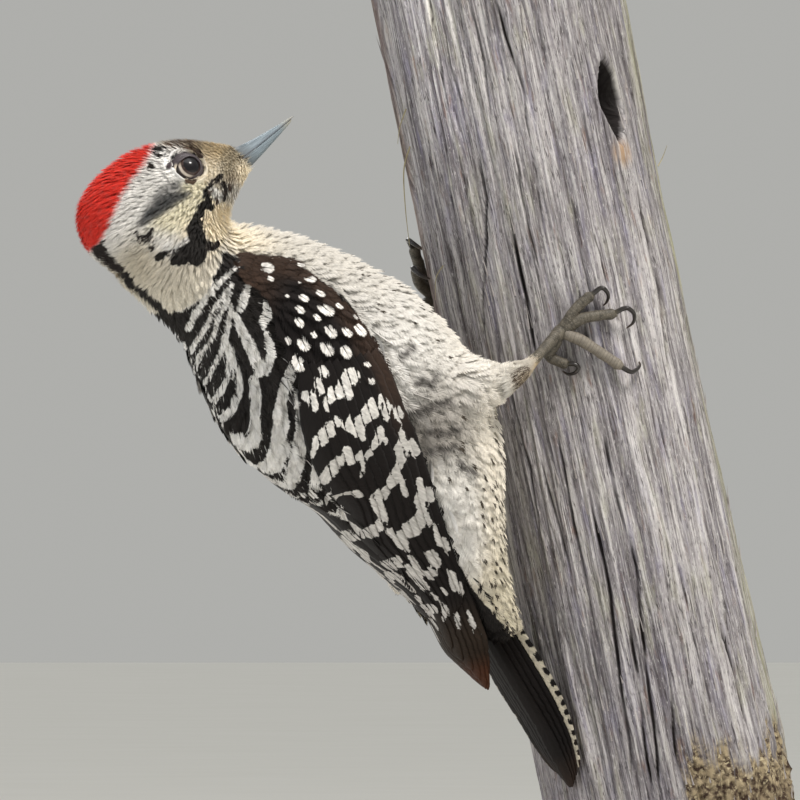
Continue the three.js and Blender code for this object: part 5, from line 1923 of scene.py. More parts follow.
def cuff(side):
    """Short narrow feathers that run from the thigh down the first half of the shank."""
    random = np.random.default_rng(61)
    path, past = SHANKS[side]
    starts, ends, outs = [], [], []
    for row in np.arange(-6.5, 7.6, 0.48):
        radius = read_table(CUFF, row)
        count = int(2 * math.pi * radius / 0.46)
        for k in range(count):
            here = row + random.uniform(-0.24, 0.24)
            turn = 2 * math.pi * (k + random.uniform(0, 1)) / count
            reach = np.interp(here, [-6, 8], [3.2, 1.7]) * random.uniform(0.85, 1.15)
            ring = []
            for at, sink in ((here, 0.65), (here + reach, 0.10)):
                middle = np.array([np.interp(at, past, path[:, c]) for c in range(3)])
                next_one = np.array([np.interp(at + 0.5, past, path[:, c]) for c in range(3)])
                ahead = unit(next_one - middle)
                side_way = unit(np.cross(ahead, [0, 0, 1.0]))
                out = side_way * math.cos(turn) + np.cross(side_way, ahead) * math.sin(turn)
                wide = read_table(CUFF, at) - sink
                ring.append(middle + out * wide)
            starts.append(ring[0])
            ends.append(ring[1] + random.normal(0, 0.07, 3))
            outs.append(out)
    starts, ends, outs = np.array(starts), np.array(ends), np.array(outs)
    way = unit(ends - starts)
    long = np.linalg.norm(ends - starts, axis=1)
    normal = unit(outs - way * (outs * way).sum(1)[:, None])
    choice = random.integers(0, len(STRANDS), len(long))
    wide = np.full(len(long), 0.40)
    points, owners, vanes = set_down(STRANDS, choice, starts, way, normal, long, wide, normal * 0.0,
                                     np.full(len(long), 2.0), 0.12)
    at, _ = near_shank(points, side)
    mm = past[at]
    above = smooth_step(-0.5, 0.5, outs[owners][:, 2])
    brown = (0.25 + 0.65 * (1 - above)) * smooth_step(-5, 0, mm) + 0.3 * smooth_step(4, 7, mm)
    ground = CREAM * (1 - brown[:, None]) + CUFF_TAN * brown[:, None]
    bar = 0.20 - np.abs(((mm + 1.6 * above) / 1.15) % 1 - 0.5) * 1.15
    bar = np.where((mm > -3.8) & (mm < 2.6) & (above < 0.97), bar, -1.0)
    bar = bar + random.normal(0, 0.03, len(long))[owners]
    tone = random.uniform(0.85, 1.1, len(long))[owners]
    # Painted shade: each cuff feather is darker towards its root, under the feathers that overlap it.
    shade = tone * (0.72 + 0.28 * smooth_step(0.0, 0.5, vanes[:, 1]))
    values = {"ground": ground, "dark": np.tile(CUFF_BAR, (len(points), 1)), "ink": bar, "shade": shade}
    size = np.stack([long, wide], -1)[owners]
    piece = make_coat(f"tarsus_cuff_{side}", points, vanes, owners, starts, size, values)
    print(piece.name, len(piece.data.polygons), "triangles")
    return piece


CUFF_TAN = linear("#b9a98e")
CUFF_BAR = linear("#4a3a2b")
feet = {side: foot(side) for side in LEGS}
claws = {(side, name): claw(side, name) for side in LEGS for name in FEET[side]}
cuffs = {side: cuff(side) for side in LEGS}

# %% [markdown]
# ## The trunk
#
# Dead wood that has lost its bark weathers to silver grey. Soft early wood wears away first, so the hard
# late wood stands up as long fibres, and the trunk splits along the grain as it dries. The relief is worked
# out over one fine grid as heights above the plain trunk: fibres at several widths, listed splits, a beetle
# hole, a broken knot and sawn ends. Each point also keeps its height and its depth in any split and in the
# hole, so the paint can follow the relief and lay painted shade in the splits.

# %% Raise the grain of the trunk
TRUNK_AROUND = 520
TRUNK_ALONG = 150
CAP_RINGS = 18
ROUND_MM = 2 * math.pi * TRUNK_RADIUS


def fibres(turn_mm, up, width, length, seed, wander=1.0):
    """Smooth random heights, narrow across the grain and long down it, from -1 to 1."""
    random = np.random.default_rng(seed)
    count = int(round(ROUND_MM / width))
    rows = int(180 / length) + 4
    grid = random.uniform(-1, 1, (rows, count))
    sway = wander * 0.6 / width * np.sin(up / 23 + turn_mm / TRUNK_RADIUS + seed)
    across = turn_mm / ROUND_MM * count + sway
    down = (up + 90) / length + random.uniform(0, 1, count)[np.floor(across).astype(int) % count] * 0.8
    i, j = np.floor(down).astype(int), np.floor(across).astype(int)
    fi, fj = smooth_step(0, 1, down - i), smooth_step(0, 1, across - j)
    i = np.clip(i, 0, rows - 2)
    low = grid[i, j % count] * (1 - fj) + grid[i, (j + 1) % count] * fj
    high = grid[i + 1, j % count] * (1 - fj) + grid[i + 1, (j + 1) % count] * fj
    return low * (1 - fi) + high * fi


# Width and depth in mm of each long split, then (turn, height) from its top to its bottom.
SPLITS = [
    (0.45, 0.8, [(46.5, 83), (47.5, 69), (51, 59), (49.5, 47)]),
    (0.35, 0.6, [(75, 74), (79, 64), (80.5, 56), (79, 49)]),
    (0.50, 0.9, [(24.5, 50), (23, 40), (11, 24), (4.5, 12)]),
    (0.55, 1.2, [(33, 40), (33, 32), (32.5, 24), (30.5, 8)]),
    (0.35, 0.7, [(52, 53), (49, 42), (46, 31)]), (0.50, 0.9, [(2.5, 51), (2, 36), (0, 22)]),
    (0.40, 0.8, [(99.5, 40), (96.5, 31), (98.5, 17), (94.5, 0)]),
    (0.55, 1.1, [(55.5, -2), (54.5, -18), (57, -32), (54.5, -43), (50, -60), (45, -78)]),
    (0.45, 0.9, [(92, -42), (95, -55), (96.5, -68)]),
    (0.60, 1.2, [(42, -18), (42.5, -30), (42.5, -37), (39, -53), (34, -72)]),
    (0.50, 1.0, [(62, -46), (60.5, -58), (55.5, -74)]), (0.45, 0.8, [(9.5, 72), (7, 57), (5.5, 43)]),
    (0.40, 0.7, [(34.5, 83), (35, 66), (33, 52)]), (0.45, 0.9, [(34, -4), (32, -21), (32.5, -38)]),
    (0.35, 0.6, [(63, 40), (61, 26), (64, 12)]), (0.30, 0.5, [(70, -6), (72, -20), (70, -34)]),
    (0.35, 0.6, [(84, 20), (82, 2), (85, -16), (83, -30)]), (0.35, 0.7, [(116, 70), (114, 44), (118, 20)]),
    (0.35, 0.6, [(20, 80), (18, 66), (21, 56)]), (0.40, 0.8, [(14, 10), (17, -10), (13, -34)]),
    (0.35, 0.6, [(58, 83), (59, 70), (61, 61)]), (0.40, 0.7, [(14, 83), (15, 70), (13, 58)]),
    (0.35, 0.6, [(88, 62), (87, 50), (89, 38)]), (0.40, 0.7, [(41, 50), (40, 38), (42, 24)]),
    (0.35, 0.6, [(70, 46), (69, 30), (73, 16)]), (0.35, 0.6, [(57, 22), (56, 10), (59, 0)]),
    (0.45, 0.8, [(24, 0), (23, -14), (26, -30)]), (0.40, 0.7, [(66, -28), (65, -42), (68, -56)]),
    (0.35, 0.6, [(78, -30), (77, -46), (80, -64)]), (0.35, 0.6, [(104, 0), (103, -18), (106, -34)]),
    (0.50, 0.9, [(48, -40), (46, -56), (42, -76)]), (0.40, 0.7, [(30, -40), (27, -58), (24, -76)]),
]
HOLE_TURN, HOLE_UP, HOLE_WIDE, HOLE_TALL = 94.0, 53.5, 2.7, 7.6
RED_STRIP = -30.0  # turn where the last strip of red inner bark ends


def trunk_relief(turn_deg, up):
    """Height above the plain trunk, depth in a split or hole, rot, and share of the bark strip."""
    turn_mm = np.radians(turn_deg) * TRUNK_RADIUS
    turn_mm = turn_mm + 0.25 * fibres(turn_mm, up, 9, 32, 6)
    high = 0.16 * fibres(turn_mm, up, 0.8, 9, 1) + 0.26 * fibres(turn_mm, up, 1.5, 22, 2, 0.2)
    high += 0.34 * fibres(turn_mm, up, 2.9, 45, 3, 0.3) + 0.36 * fibres(turn_mm, up, 6.3, 80, 4, 0.4)
    ropes = fibres(turn_mm, up, 1.9, 40, 5, 0.2)
    high -= 0.42 * np.clip(np.abs(ropes) * -6 + 0.75, 0, 1)
    deep = np.zeros_like(high)
    splits = list(SPLITS)
    random = np.random.default_rng(78)
    for _ in range(170):
        hidden_side = random.uniform() < 0.45
        top = random.uniform(-70, 83)
        tall = random.uniform(12, 60) if hidden_side else random.uniform(5, 22)
        place = random.uniform(125, 375) if hidden_side else random.uniform(0, 125)
        size = random.uniform(0.3, 0.6) if hidden_side else random.uniform(0.22, 0.36)
        drift = random.normal(0, 2, 2)
        splits.append((size, size * 0.9, [(place, top), (place + drift[0], top - tall / 2),
                                          (place + drift.sum(), top - tall)]))
    jagged = 0.4 * fibres(0 * turn_mm, up, 3.0, 4.0, 12, 0) + 0.4 * np.sin(up / 6)
    broken = 0.72 + 0.5 * fibres(turn_mm, up, 1.2, 5, 13, 0)
    for number, (width, depth, line) in enumerate(splits):
        line = np.array(line)[::-1]
        bottom, top = line[0, 1], line[-1, 1]
        centre = np.interp(up, line[:, 1], line[:, 0]) + jagged * (1 if number % 2 else -1)
        away = np.abs((turn_deg - centre + 180) % 360 - 180) * math.radians(1) * TRUNK_RADIUS
        ends = np.clip(np.minimum(top - up, up - bottom) / 7, 0, 1) ** 0.6
        groove = np.clip(1.2 - away / (0.52 * width * ends + 0.06), 0, 1) ** 0.7 * ends
        deep = np.maximum(deep, depth * groove * broken)
    run = (turn_deg - HOLE_TURN) * math.radians(1) * TRUNK_RADIUS
    skew = run + 0.02 * (HOLE_UP - up)
    narrow = 1 - 0.35 * smooth_step(0, -6, up - HOLE_UP)
    rim = np.hypot(skew / (HOLE_WIDE * narrow), (up - HOLE_UP) / HOLE_TALL)
    hole = 6.2 * smooth_step(1.06, 0.66, rim) ** 0.8
    lip = 0.4 * np.exp(-((rim - 1.22) / 0.18) ** 2)
    ragged = fibres(turn_mm, up, 1.7, 5, 11, 0)
    rotten = smooth_step(-64, -75, up - 5.0 * ragged)
    rotten = rotten * smooth_step(52, 64, turn_deg) * smooth_step(160, 140, turn_deg)
    crumbs = fibres(turn_mm, up, 1.2, 1.5, 9, 0) + 0.7 * fibres(turn_mm, up, 0.8, 1.0, 10, 0)
    high = high * (1 - 0.6 * rotten) + rotten * (0.65 * crumbs - 0.5)
    sheltered = smooth_step(95, 130, turn_deg) * smooth_step(215, 170, turn_deg)
    high -= 1.1 * sheltered * smooth_step(72, 35, up) * smooth_step(-78, -35, up)
    strip_edge = RED_STRIP + 4 * np.sin(up / 9) + 2.5 * np.sin(up / 3.7)
    from_edge = (turn_deg - strip_edge + 180) % 360 - 180
    strip = smooth_step(1.5, -1.5, from_edge) * smooth_step(-34, -26, from_edge) * smooth_step(2, 14, up)
    high += 0.5 * strip
    return high + lip - deep - hole, np.maximum(deep / 0.9, np.clip(hole / 1.5, 0, 2.5)), rotten, strip


# (turn, height, spread of each, lightness) of the painted light and shade on the wood: broad pools and a few
# narrow bands near the top
PAINTED_LIGHT_ON_WOOD = [(8, 70, 12, 22, 0.95), (32, 20, 16, 30, -0.10), (97, 62, 22, 30, -0.16), (135, 0, 14, 90, -0.20),
              (62, -72, 24, 14, -0.14), (36, -45, 14, 30, -0.06), (80, 5, 16, 30, 0.15),
              (110, -45, 16, 30, 0.03),
              (47, 66, 4, 26, -0.18), (58, 62, 4, 30, 0.10), (72, 58, 4, 34, 0.08), (64, 66, 3, 18, -0.12)]
# Three quarters of the columns stand on the half with the fine cracks.
turns = np.interp(np.arange(TRUNK_AROUND) / TRUNK_AROUND, [0, 0.76, 1], [-45, 160, 315])
ups = np.linspace(TRUNK_TOP - 0.35, TRUNK_BOTTOM + 0.35, TRUNK_ALONG)
turn_grid, up_grid = np.meshgrid(turns, ups)
relief, deep, rotten, strip = trunk_relief(turn_grid, up_grid)
surface = on_trunk(turn_grid, up_grid, relief - 0.25)
light = np.zeros_like(relief)
for place, height, wide, tall, strength in PAINTED_LIGHT_ON_WOOD:
    away = (turn_grid - place + 180) % 360 - 180
    light += strength * np.exp(-(away / wide) ** 2 - ((up_grid - height) / tall) ** 2)
rings = [surface]
for k in range(1, CAP_RINGS + 1):
    share = 1 - k / (CAP_RINGS + 1)
    growth = 0.10 * fibres(np.radians(turns) * TRUNK_RADIUS, np.full(TRUNK_AROUND, k * 3.0), 2.0, 9, 21)
    saw_marks = (0.16 * np.sin(share * 92) + growth) * min(1, k / 3)
    rise = saw_marks - 0.15 + 0.1 * min(k, 4) / 4
    lift = np.stack([np.zeros_like(rise), np.zeros_like(rise), rise], -1)
    rings.insert(0, (surface[0] * [share, share, 0] + [0, 0, TRUNK_TOP] + lift)[None])
    rings.append((surface[-1] * [share, share, 0] + [0, 0, TRUNK_BOTTOM] - lift)[None])
trunk_points = np.concatenate(rings).reshape(-1, 3)
ring_count = len(trunk_points) // TRUNK_AROUND
trunk_faces = outward(trunk_points, ring_faces(ring_count, TRUNK_AROUND))
trunk = make_mesh("weathered_trunk", trunk_points, trunk_faces)


def with_caps(values, on_caps):
    caps = np.full((CAP_RINGS, TRUNK_AROUND), on_caps)
    return np.concatenate([caps, values, caps]).ravel()


turn_at = np.degrees(np.arctan2(trunk_points[:, 1], trunk_points[:, 0]))
mossy = smooth_step(112, 128, turn_at) * smooth_step(172, 150, turn_at)
below_hole = np.hypot((turn_at - HOLE_TURN + 0.5) / 6, (trunk_points[:, 2] - HOLE_UP + HOLE_TALL + 2.2) / 3)
rusty = smooth_step(1.2, 0.3, below_hole)
TRUNK_VALUES = {
    "deep": with_caps(deep, 0.15), "rotten": with_caps(rotten, 0.0), "strip": with_caps(strip, 0.0),
    "light": with_caps(light, 0.0), "end_grain": with_caps(np.zeros_like(deep), 1.0),
    "mossy": mossy, "rusty": rusty, "round_mm": np.radians(turn_at) * TRUNK_RADIUS,
    "up_mm": trunk_points[:, 2],
}
for key, value in TRUNK_VALUES.items():
    set_values(trunk, key, value)
print(trunk.name, len(trunk_faces), "triangles, deepest", round(float(relief.min()), 2), "mm")

# %% Hang loose fibres
# (turn, height, mm off the wood) along each loose straw, and its radius.
STRAWS = [([(-20, 53, 0.2), (-26, 49, 1.4), (-28, 42, 2.4), (-29, 35, 3.0)], 0.16),
          ([(-16, 60, 0.2), (-22, 57, 1.0), (-24, 54, 1.8)], 0.14),
          ([(-12, 30, 0.2), (-17, 28, 1.1), (-20, 24, 1.6)], 0.12),
          ([(150, 40, -0.2), (152, 41.5, 1.2), (151, 43.5, 2.4)], 0.12)]
parts = []
for line, radius in STRAWS:
    path, _ = curve_through([on_trunk(*place) for place in line], 40)
    points, _, _ = tube(path, radius * (1 - 0.7 * np.linspace(0, 1, 40)), 8)
    parts.append((points, ring_faces(40, 8)))
straws = make_mesh("loose_straws", *join_parts(parts))
print(straws.name, len(straws.data.polygons), "triangles")

# %% [markdown]
# ## The stand
#
# A turned wooden base and a steel rod hold the trunk up. Both are simple turned shapes, so each is a profile
# spun round the upright axis, with enough steps for a smooth rim.

# %% Turn the base and the rod
def spun(name, profile, around, centre):
    """Spins (radius, height) pairs, in mm, round an upright axis in the world."""
    turn = np.linspace(0, 2 * math.pi, around, endpoint=False)
    profile = np.array(profile, float)
    points = np.stack([profile[:, :1] * np.cos(turn), profile[:, :1] * np.sin(turn),
                       np.repeat(profile[:, 1:], around, 1)], -1).reshape(-1, 3) + centre
    return make_mesh(name, to_perch(points), outward(points, ring_faces(len(profile), around)))


def rounded(profile, corner):
    """Softens the corners of a profile."""
    out = [profile[0]]
    for before, here, after in zip(profile, profile[1:], profile[2:]):
        before, here, after = map(np.array, (before, here, after))
        reach = min(corner, np.linalg.norm(here - before) / 2.2, np.linalg.norm(after - here) / 2.2)
        start = here + unit(before - here) * reach
        end = here + unit(after - here) * reach
        for share in np.linspace(0, 1, 6):
            bend = 2 * here * share * (1 - share)
            out.append(tuple(start * (1 - share) ** 2 + bend + end * share ** 2))
    return out + [profile[-1]]


base_corners = corners_of("stand_base")
rod_corners = corners_of("stand_rod")
BASE_PROFILE = [(0.05, 0.0), (61.4, 0.0), (62, 0.6), (62, 6.2), (61.2, 7.8), (58.8, 8.4), (57.2, 10.0),
                (0.05, 10.0)]
base = spun("turned_base", rounded(BASE_PROFILE, 0.8), 160, [0, 0, base_corners[:, 2].min()])
rod_middle = (rod_corners.min(0) + rod_corners.max(0)) / 2
rod_low, rod_high = rod_corners[:, 2].min(), rod_corners[:, 2].max()
ROD_PROFILE = [(0.05, rod_low), (4.0, rod_low), (4.0, rod_high), (0.05, rod_high)]
rod = spun("steel_rod", rounded(ROD_PROFILE, 0.4), 64, [rod_middle[0], rod_middle[1], 0])
print("base", round(float(base_corners[:, 2].max()), 1), "mm high, rod to", round(float(rod_high), 1), "mm")

# %% [markdown]
# ## Materials
#
# Every material is worked out from places on the piece, in millimetres. One small function adds a node, sets
# its values and joins its wires. A recipe keeps the nodes of one material together, and its few steps, such
# as a thin layer of colour over another, each add several nodes, so it reads from top to bottom.

# %% Write the node helper
def feed(tree, socket, value):
    """Joins a node or a wire to a socket, or sets the socket's own value."""
    if isinstance(value, bpy.types.Node):
        value = next(out for out in value.outputs if out.enabled)
    if isinstance(value, bpy.types.NodeSocket):
        tree.links.new(value, socket)
    else:
        socket.default_value = value


def add_node(tree, kind, *inputs, **settings):
    """Adds a node, sets it up and joins its wires. Plain inputs fill the node's open sockets in order. A
    name that starts with a capital is a socket's, and any other name is a setting's."""
    node = tree.nodes.new(kind)
    for key, value in settings.items():
        if key[0].islower():
            setattr(node, key, value)
    wanted = [*zip([socket for socket in node.inputs if socket.enabled], inputs)]
    for key, value in settings.items():
        if key[0].isupper():
            wanted.append((node.inputs[key.replace("_", " ")], value))
    for socket, value in wanted:
        feed(tree, socket, value)
    return node


# %% Write the steps that recipes share
class Recipe:
    """A material under construction, and the values of the piece's own points that it reads."""

    def __init__(self, name, values="", colours=""):
        self.material = bpy.data.materials.new(name)
        self.material.use_nodes = True
        self.tree = self.material.node_tree
        self.surface = self.tree.nodes["Principled BSDF"]
        self.own = {}
        for key in values.split():
            self.own[key] = self.add("Attribute", attribute_name=key).outputs["Fac"]
        for key in colours.split():
            self.own[key] = self.add("Attribute", attribute_name=key).outputs["Color"]

    def add(self, kind, *inputs, **settings):
        return add_node(self.tree, "ShaderNode" + kind, *inputs, **settings)

    def mottling(self, per_mm, detail=3.0, roughness=0.5, stretch=None):
        """Soft random patches, so many to the mm, fixed to the piece. A stretch turns them into streaks."""
        place = self.add("TexCoord").outputs["Object"]
        if stretch:
            place = self.add("Mapping", place, Scale=stretch)
        return self.add("TexNoise", place, Scale=per_mm / MM, Detail=detail, Roughness=roughness)

    def between(self, source, low, high, first, second):
        """Goes from one colour to another while a pattern rises from low to high."""
        share = self.add("MapRange", source, low, high)
        return self.add("Mix", share, rgba(first), rgba(second), data_type="RGBA")

    def lay(self, colour, source, low, high, strength, top):
        """Lays a thin colour over another one while a pattern rises from low to high."""
        share = self.add("Math", self.add("MapRange", source, low, high), strength, operation="MULTIPLY")
        return self.add("Mix", share, colour, rgba(top), data_type="RGBA")

    def tinge(self, colour, share, strength, top):
        """Lays a thin colour over another one by a share of each place."""
        share = self.add("Math", share, strength, operation="MULTIPLY")
        return self.add("Mix", share, colour, top, data_type="RGBA")

    def darken(self, colour, tone):
        """Makes a colour darker or lighter by a factor of each place."""
        grey = self.add("CombineColor", tone, tone, tone)
        return self.add("Mix", 1.0, colour, grey, data_type="RGBA", blend_type="MULTIPLY")

    def finish(self, colour, roughness, relief=None, depth_mm=0.0, strength=1.0, **constants):
        """Joins the recipe to the surface: its colour, roughness, fine relief and fixed values."""
        wires = {"Base Color": colour, "Roughness": roughness}
        if relief is not None:
            wires["Normal"] = self.add("Bump", Height=relief, Distance=depth_mm * MM, Strength=strength)
        for key, value in {**wires, **constants}.items():
            feed(self.tree, self.surface.inputs[key.replace("_", " ")], value)
        return self.material


def wear(material, *pieces):
    for piece in pieces:
        piece.data.materials.clear()
        piece.data.materials.append(material)


# %% [markdown]
# ## The finish of feathers
#
# A feather is keratin, like horn, but its fine barbs scatter light, so it looks matt with a faint sheen. A
# flat colour would look like paper. So each barb gets its own tone along its length, and the edges of the
# marks wander by a fraction of a millimetre, as they do where light and dark barbs lie side by side. The
# stiff feathers of the wings and tail are browner with wear and less downy than those of the body.

# %% Mix the feather materials
def feather(name, edge_mm, streak, roughness, soiling, barbs_per_mm=3.0, gloss=0.32):
    """Keratin barbs: matt, faintly streaked along each barb, with marks whose edges follow the barbs."""
    recipe = Recipe(name, "ink across along shade", "ground dark")
    add, own = recipe.add, recipe.own
    push = add("Math", recipe.mottling(1.6, 2.0), 0.7, -0.35, operation="MULTIPLY_ADD")
    push = add("Math", recipe.mottling(5.0, 2.0), 0.3, push, operation="MULTIPLY_ADD")
    inside = add("Math", own["ink"], push, operation="ADD")
    marked = add("MapRange", inside, -edge_mm, edge_mm, interpolation_type="SMOOTHSTEP")
    dulled = add("MapRange", recipe.mottling(0.9, 3.0, 0.6), 0.50, 0.72, 0.0, soiling)
    ground = add("Mix", dulled, own["ground"], rgba("#7d7874"), data_type="RGBA")
    colour = add("Mix", marked, ground, own["dark"], data_type="RGBA")
    aside = add("Math", own["across"], operation="ABSOLUTE")
    slope = add("Math", own["along"], aside, operation="SUBTRACT")
    slope = add("Math", slope, barbs_per_mm, operation="MULTIPLY")
    across = add("Math", own["across"], 5.0, operation="MULTIPLY")
    across = add("Math", across, 0.12, operation="MULTIPLY")
    place = add("CombineXYZ", slope, across, own["shade"])
    barbs = add("TexNoise", place, Scale=1.0, Detail=2.0)
    tone = add("MapRange", barbs, 0.25, 0.75, 1 - streak, 1 + streak * 0.6)
    # The shade value brings each feather's random tone and, where there is one, the painted shade near its
    # root.
    tone = add("Math", tone, own["shade"], operation="MULTIPLY")
    return recipe.finish(recipe.darken(colour, tone), roughness, barbs, 0.08, 0.7, Specular_IOR_Level=gloss,
                         Sheen_Weight=0.4 * gloss - 0.04, Sheen_Roughness=0.5)


DOWN = feather("keratin_soft_barbs", 0.10, 0.18, 0.78, 0.22)
VANE = feather("keratin_stiff_vane", 0.09, 0.34, 0.66, 0.40, 1.7, 0.18)
wear(DOWN, *coats, skin)
wear(VANE, *covert_pieces, *flight_pieces, tail_feathers)
set_values(skin, "across", np.zeros(len(skin.data.vertices)))
set_values(skin, "along", np.zeros(len(skin.data.vertices)))

# %% Attach the plumage and hide the solids it replaces
finish_piece(skin, "plumage", *FLESH)
for coat in coats:
    finish_piece(coat, "plumage")
for side, coverts, flight in zip(LEGS, covert_pieces, flight_pieces):
    finish_piece(flight, "plumage", f"wing_{side}")
    finish_piece(coverts, "plumage")
finish_piece(tail_feathers, "plumage", "tail")

# %% [markdown]
# ## The finish of the bare parts
#
# The eye is wet, so it needs a sharp highlight: a clear coat over a dull ball gives one. Lids are bare skin.
# Bill and claws are both horn, but the bill is scratched dull by its work and the claws stay glossy. Scales
# are dry, with painted shade in their creases and on the side that faces the wood; toe 4 is paler.

# %% Mix the eye, lid and bill materials
def eye_material():
    """A wet dark eye: black pupil, dark brown iris, a pale crescent behind it, and a clear glossy cornea."""
    recipe = Recipe("wet_cornea_over_dark_iris", "off_axis crescent")
    add, out = recipe.add, recipe.own["off_axis"]
    rays = recipe.mottling(3.0, 4.0)
    wobble = add("Math", rays, 0.16, add("Math", out, -0.08, operation="ADD"), operation="MULTIPLY_ADD")
    iris = recipe.between(rays, 0.3, 0.7, "#241917", "#473630")
    rim = add("MapRange", out, 2.15, 2.65, interpolation_type="SMOOTHSTEP")
    iris = add("Mix", rim, iris, rgba("#1a1110"), data_type="RGBA")
    black = add("MapRange", wobble, PUPIL - 0.07, PUPIL + 0.07, interpolation_type="SMOOTHSTEP")
    colour = add("Mix", black, rgba("#060308"), iris, data_type="RGBA")
    inner, outer = add("MapRange", out, 1.90, 2.04), add("MapRange", out, 2.42, 2.26)
    ring = add("Math", inner, outer, operation="MULTIPLY")
    ring = add("Math", ring, recipe.own["crescent"], operation="MULTIPLY")
    pale = add("Mix", rays, rgba("#9d9183"), rgba("#cdc2b4"), data_type="RGBA")
    colour = add("Mix", ring, colour, pale, data_type="RGBA")
    return recipe.finish(colour, 0.45, Specular_IOR_Level=0.15, Coat_Weight=1.0, Coat_Roughness=0.03,
                         Coat_IOR=1.376)


def lid_material():
    """Thin bare skin: dark grey brown at the rim, with a pale crescent below and behind the eye."""
    recipe = Recipe("bare_lid_skin", "from_rim crescent")
    add, edge = recipe.add, recipe.own["from_rim"]
    mottling = recipe.mottling(2.2)
    base = add("Mix", mottling, rgba("#2e282c"), rgba("#544c50"), data_type="RGBA")
    pale = add("Mix", mottling, rgba("#cfc2ae"), rgba("#eadfcc"), data_type="RGBA")
    inner, outer = add("MapRange", edge, 0.02, 0.12), add("MapRange", edge, 0.56, 0.40)
    rim = add("Math", inner, outer, operation="MULTIPLY")
    light = add("Math", rim, recipe.own["crescent"], operation="MULTIPLY")
    colour = add("Mix", light, base, pale, data_type="RGBA")
    return recipe.finish(colour, 0.48, recipe.mottling(9.0), 0.05, 0.6, Specular_IOR_Level=0.45)


def bill_material():
    """Blue-grey horn: paler tip, darker base, painted shade where the halves meet, fine lengthwise scratches.
    """
    recipe = Recipe("slate_bill_horn", "forward height")
    add, forward, height = recipe.add, recipe.own["forward"], recipe.own["height"]
    place = add("CombineXYZ", add("Math", forward, 0.35, operation="MULTIPLY"),
                add("Math", height, 7.0, operation="MULTIPLY"), 0.0)
    streaks = add("TexNoise", place, Scale=1.0, Detail=4.0)
    body = recipe.between(streaks, 0.3, 0.72, "#5f6a72", "#8b98a0")
    tip = add("MapRange", forward, 9.5, 13.2, interpolation_type="SMOOTHSTEP")
    body = add("Mix", tip, body, rgba("#9b998d"), data_type="RGBA")
    body = recipe.lay(body, forward, 4.0, 0.8, 0.75, "#4b4d4e")
    # Painted shade along the line where the upper and lower halves meet.
    edge = add("Math", forward, 0.073, -0.40, operation="MULTIPLY_ADD")
    off_edge = add("Math", add("Math", height, edge, operation="SUBTRACT"), operation="ABSOLUTE")
    body = recipe.lay(body, off_edge, 0.26, 0.05, 0.6, "#4a4c55")
    return recipe.finish(body, add("MapRange", streaks, 0.2, 0.8, 0.55, 0.65), Specular_IOR_Level=0.25)


wear(eye_material(), *eyeballs.values())
wear(lid_material(), *eyelids.values())
wear(bill_material(), *bill_pieces.values())
wear(DOWN, nasal_tufts, *cuffs.values())

# %% Mix the leg and claw materials
def leg_material():
    """Dry scaly skin: grey-olive plates, painted shade in the creases and on the side facing the wood, toe 4
    paler.
    """
    recipe = Recipe("scaly_leg_skin", "above along worn")
    add, above = recipe.add, recipe.own["above"]
    colour = recipe.between(recipe.mottling(0.9), 0.3, 0.7, "#36322b", "#645e53")
    # Toe 4 gets a paler tinge.
    colour = recipe.tinge(colour, recipe.own["worn"], 0.35, rgba("#a89f92"))
    colour = recipe.lay(colour, recipe.mottling(4.5, 2.0), 0.52, 0.7, 0.4, "#958e80")
    # Painted shade on the side of the shank and toes that faces the wood.
    colour = recipe.lay(colour, above, -0.1, -0.8, 0.5, "#4a4439")
    # Painted shade in the creases at the start of each scute, on the upper side.
    step = add("Math", recipe.own["along"], SCUTE_PLATE, operation="DIVIDE")
    step = add("MapRange", add("Math", step, operation="FRACT"), 0.14, 0.0)
    crease = add("Math", step, add("MapRange", above, -0.1, 0.3), operation="MULTIPLY")
    colour = recipe.tinge(colour, crease, 0.65, rgba("#2f2c22"))
    return recipe.finish(colour, 0.58, recipe.mottling(6.0), 0.06, 0.6, Specular_IOR_Level=0.4)


def claw_material():
    """Black horn, glossy along the curve and a little brown at the point."""
    recipe = Recipe("black_claw_horn", "along")
    streak = recipe.mottling(2.6)
    colour = recipe.add("Mix", streak, rgba("#14110f"), rgba("#2c2724"), data_type="RGBA")
    for low, high, top in ((0.75, 1.0, "#4a3d33"), (0.16, 0.02, "#4d483a")):
        share = recipe.add("MapRange", recipe.own["along"], low, high)
        colour = recipe.add("Mix", share, colour, rgba(top), data_type="RGBA")
    return recipe.finish(colour, 0.28, streak, 0.04, 0.4, IOR=1.55)


wear(leg_material(), *feet.values())
wear(claw_material(), *claws.values())

# %% [markdown]
# ## The finish of the wood and the stand
#
# Sun and rain leave a silver skin on dead wood. It is never one grey: lilac, cream and umber streaks of every
# width lie beside one another, all long and narrow along the grain. So the same noise is stretched along the
# trunk at nine widths, and each layer of colour follows one of them. The walnut and the steel are plainer,
# and the same streaks, drawn another way round, serve for both.

# %% List the colours of weathered wood
# (pattern, where it begins, where it is full, strength, colour) of each thin layer over the silver ground
WOOD_LAYERS = [
    ("wide", 0.47, 0.32, 0.60, "#595456"), ("wide", 0.53, 0.68, 0.60, "#d0cccb"),
    ("patches", 0.48, 0.34, 0.35, "#6b6568"), ("tint", 0.54, 0.68, 0.45, "#8a86a0"),
    ("tint", 0.45, 0.33, 0.35, "#b7b79c"), ("stain", 0.60, 0.72, 0.60, "#7d5b48"),
    ("lines", 0.54, 0.68, 0.60, "#dad7d6"), ("lines", 0.46, 0.33, 0.70, "#433d40"),
    ("middle", 0.55, 0.72, 0.60, "#e2e0de"), ("middle", 0.46, 0.30, 0.65, "#40393b"),
    ("fine", 0.45, 0.28, 0.55, "#3a3436"), ("fine", 0.57, 0.74, 0.50, "#efedeb"),
]
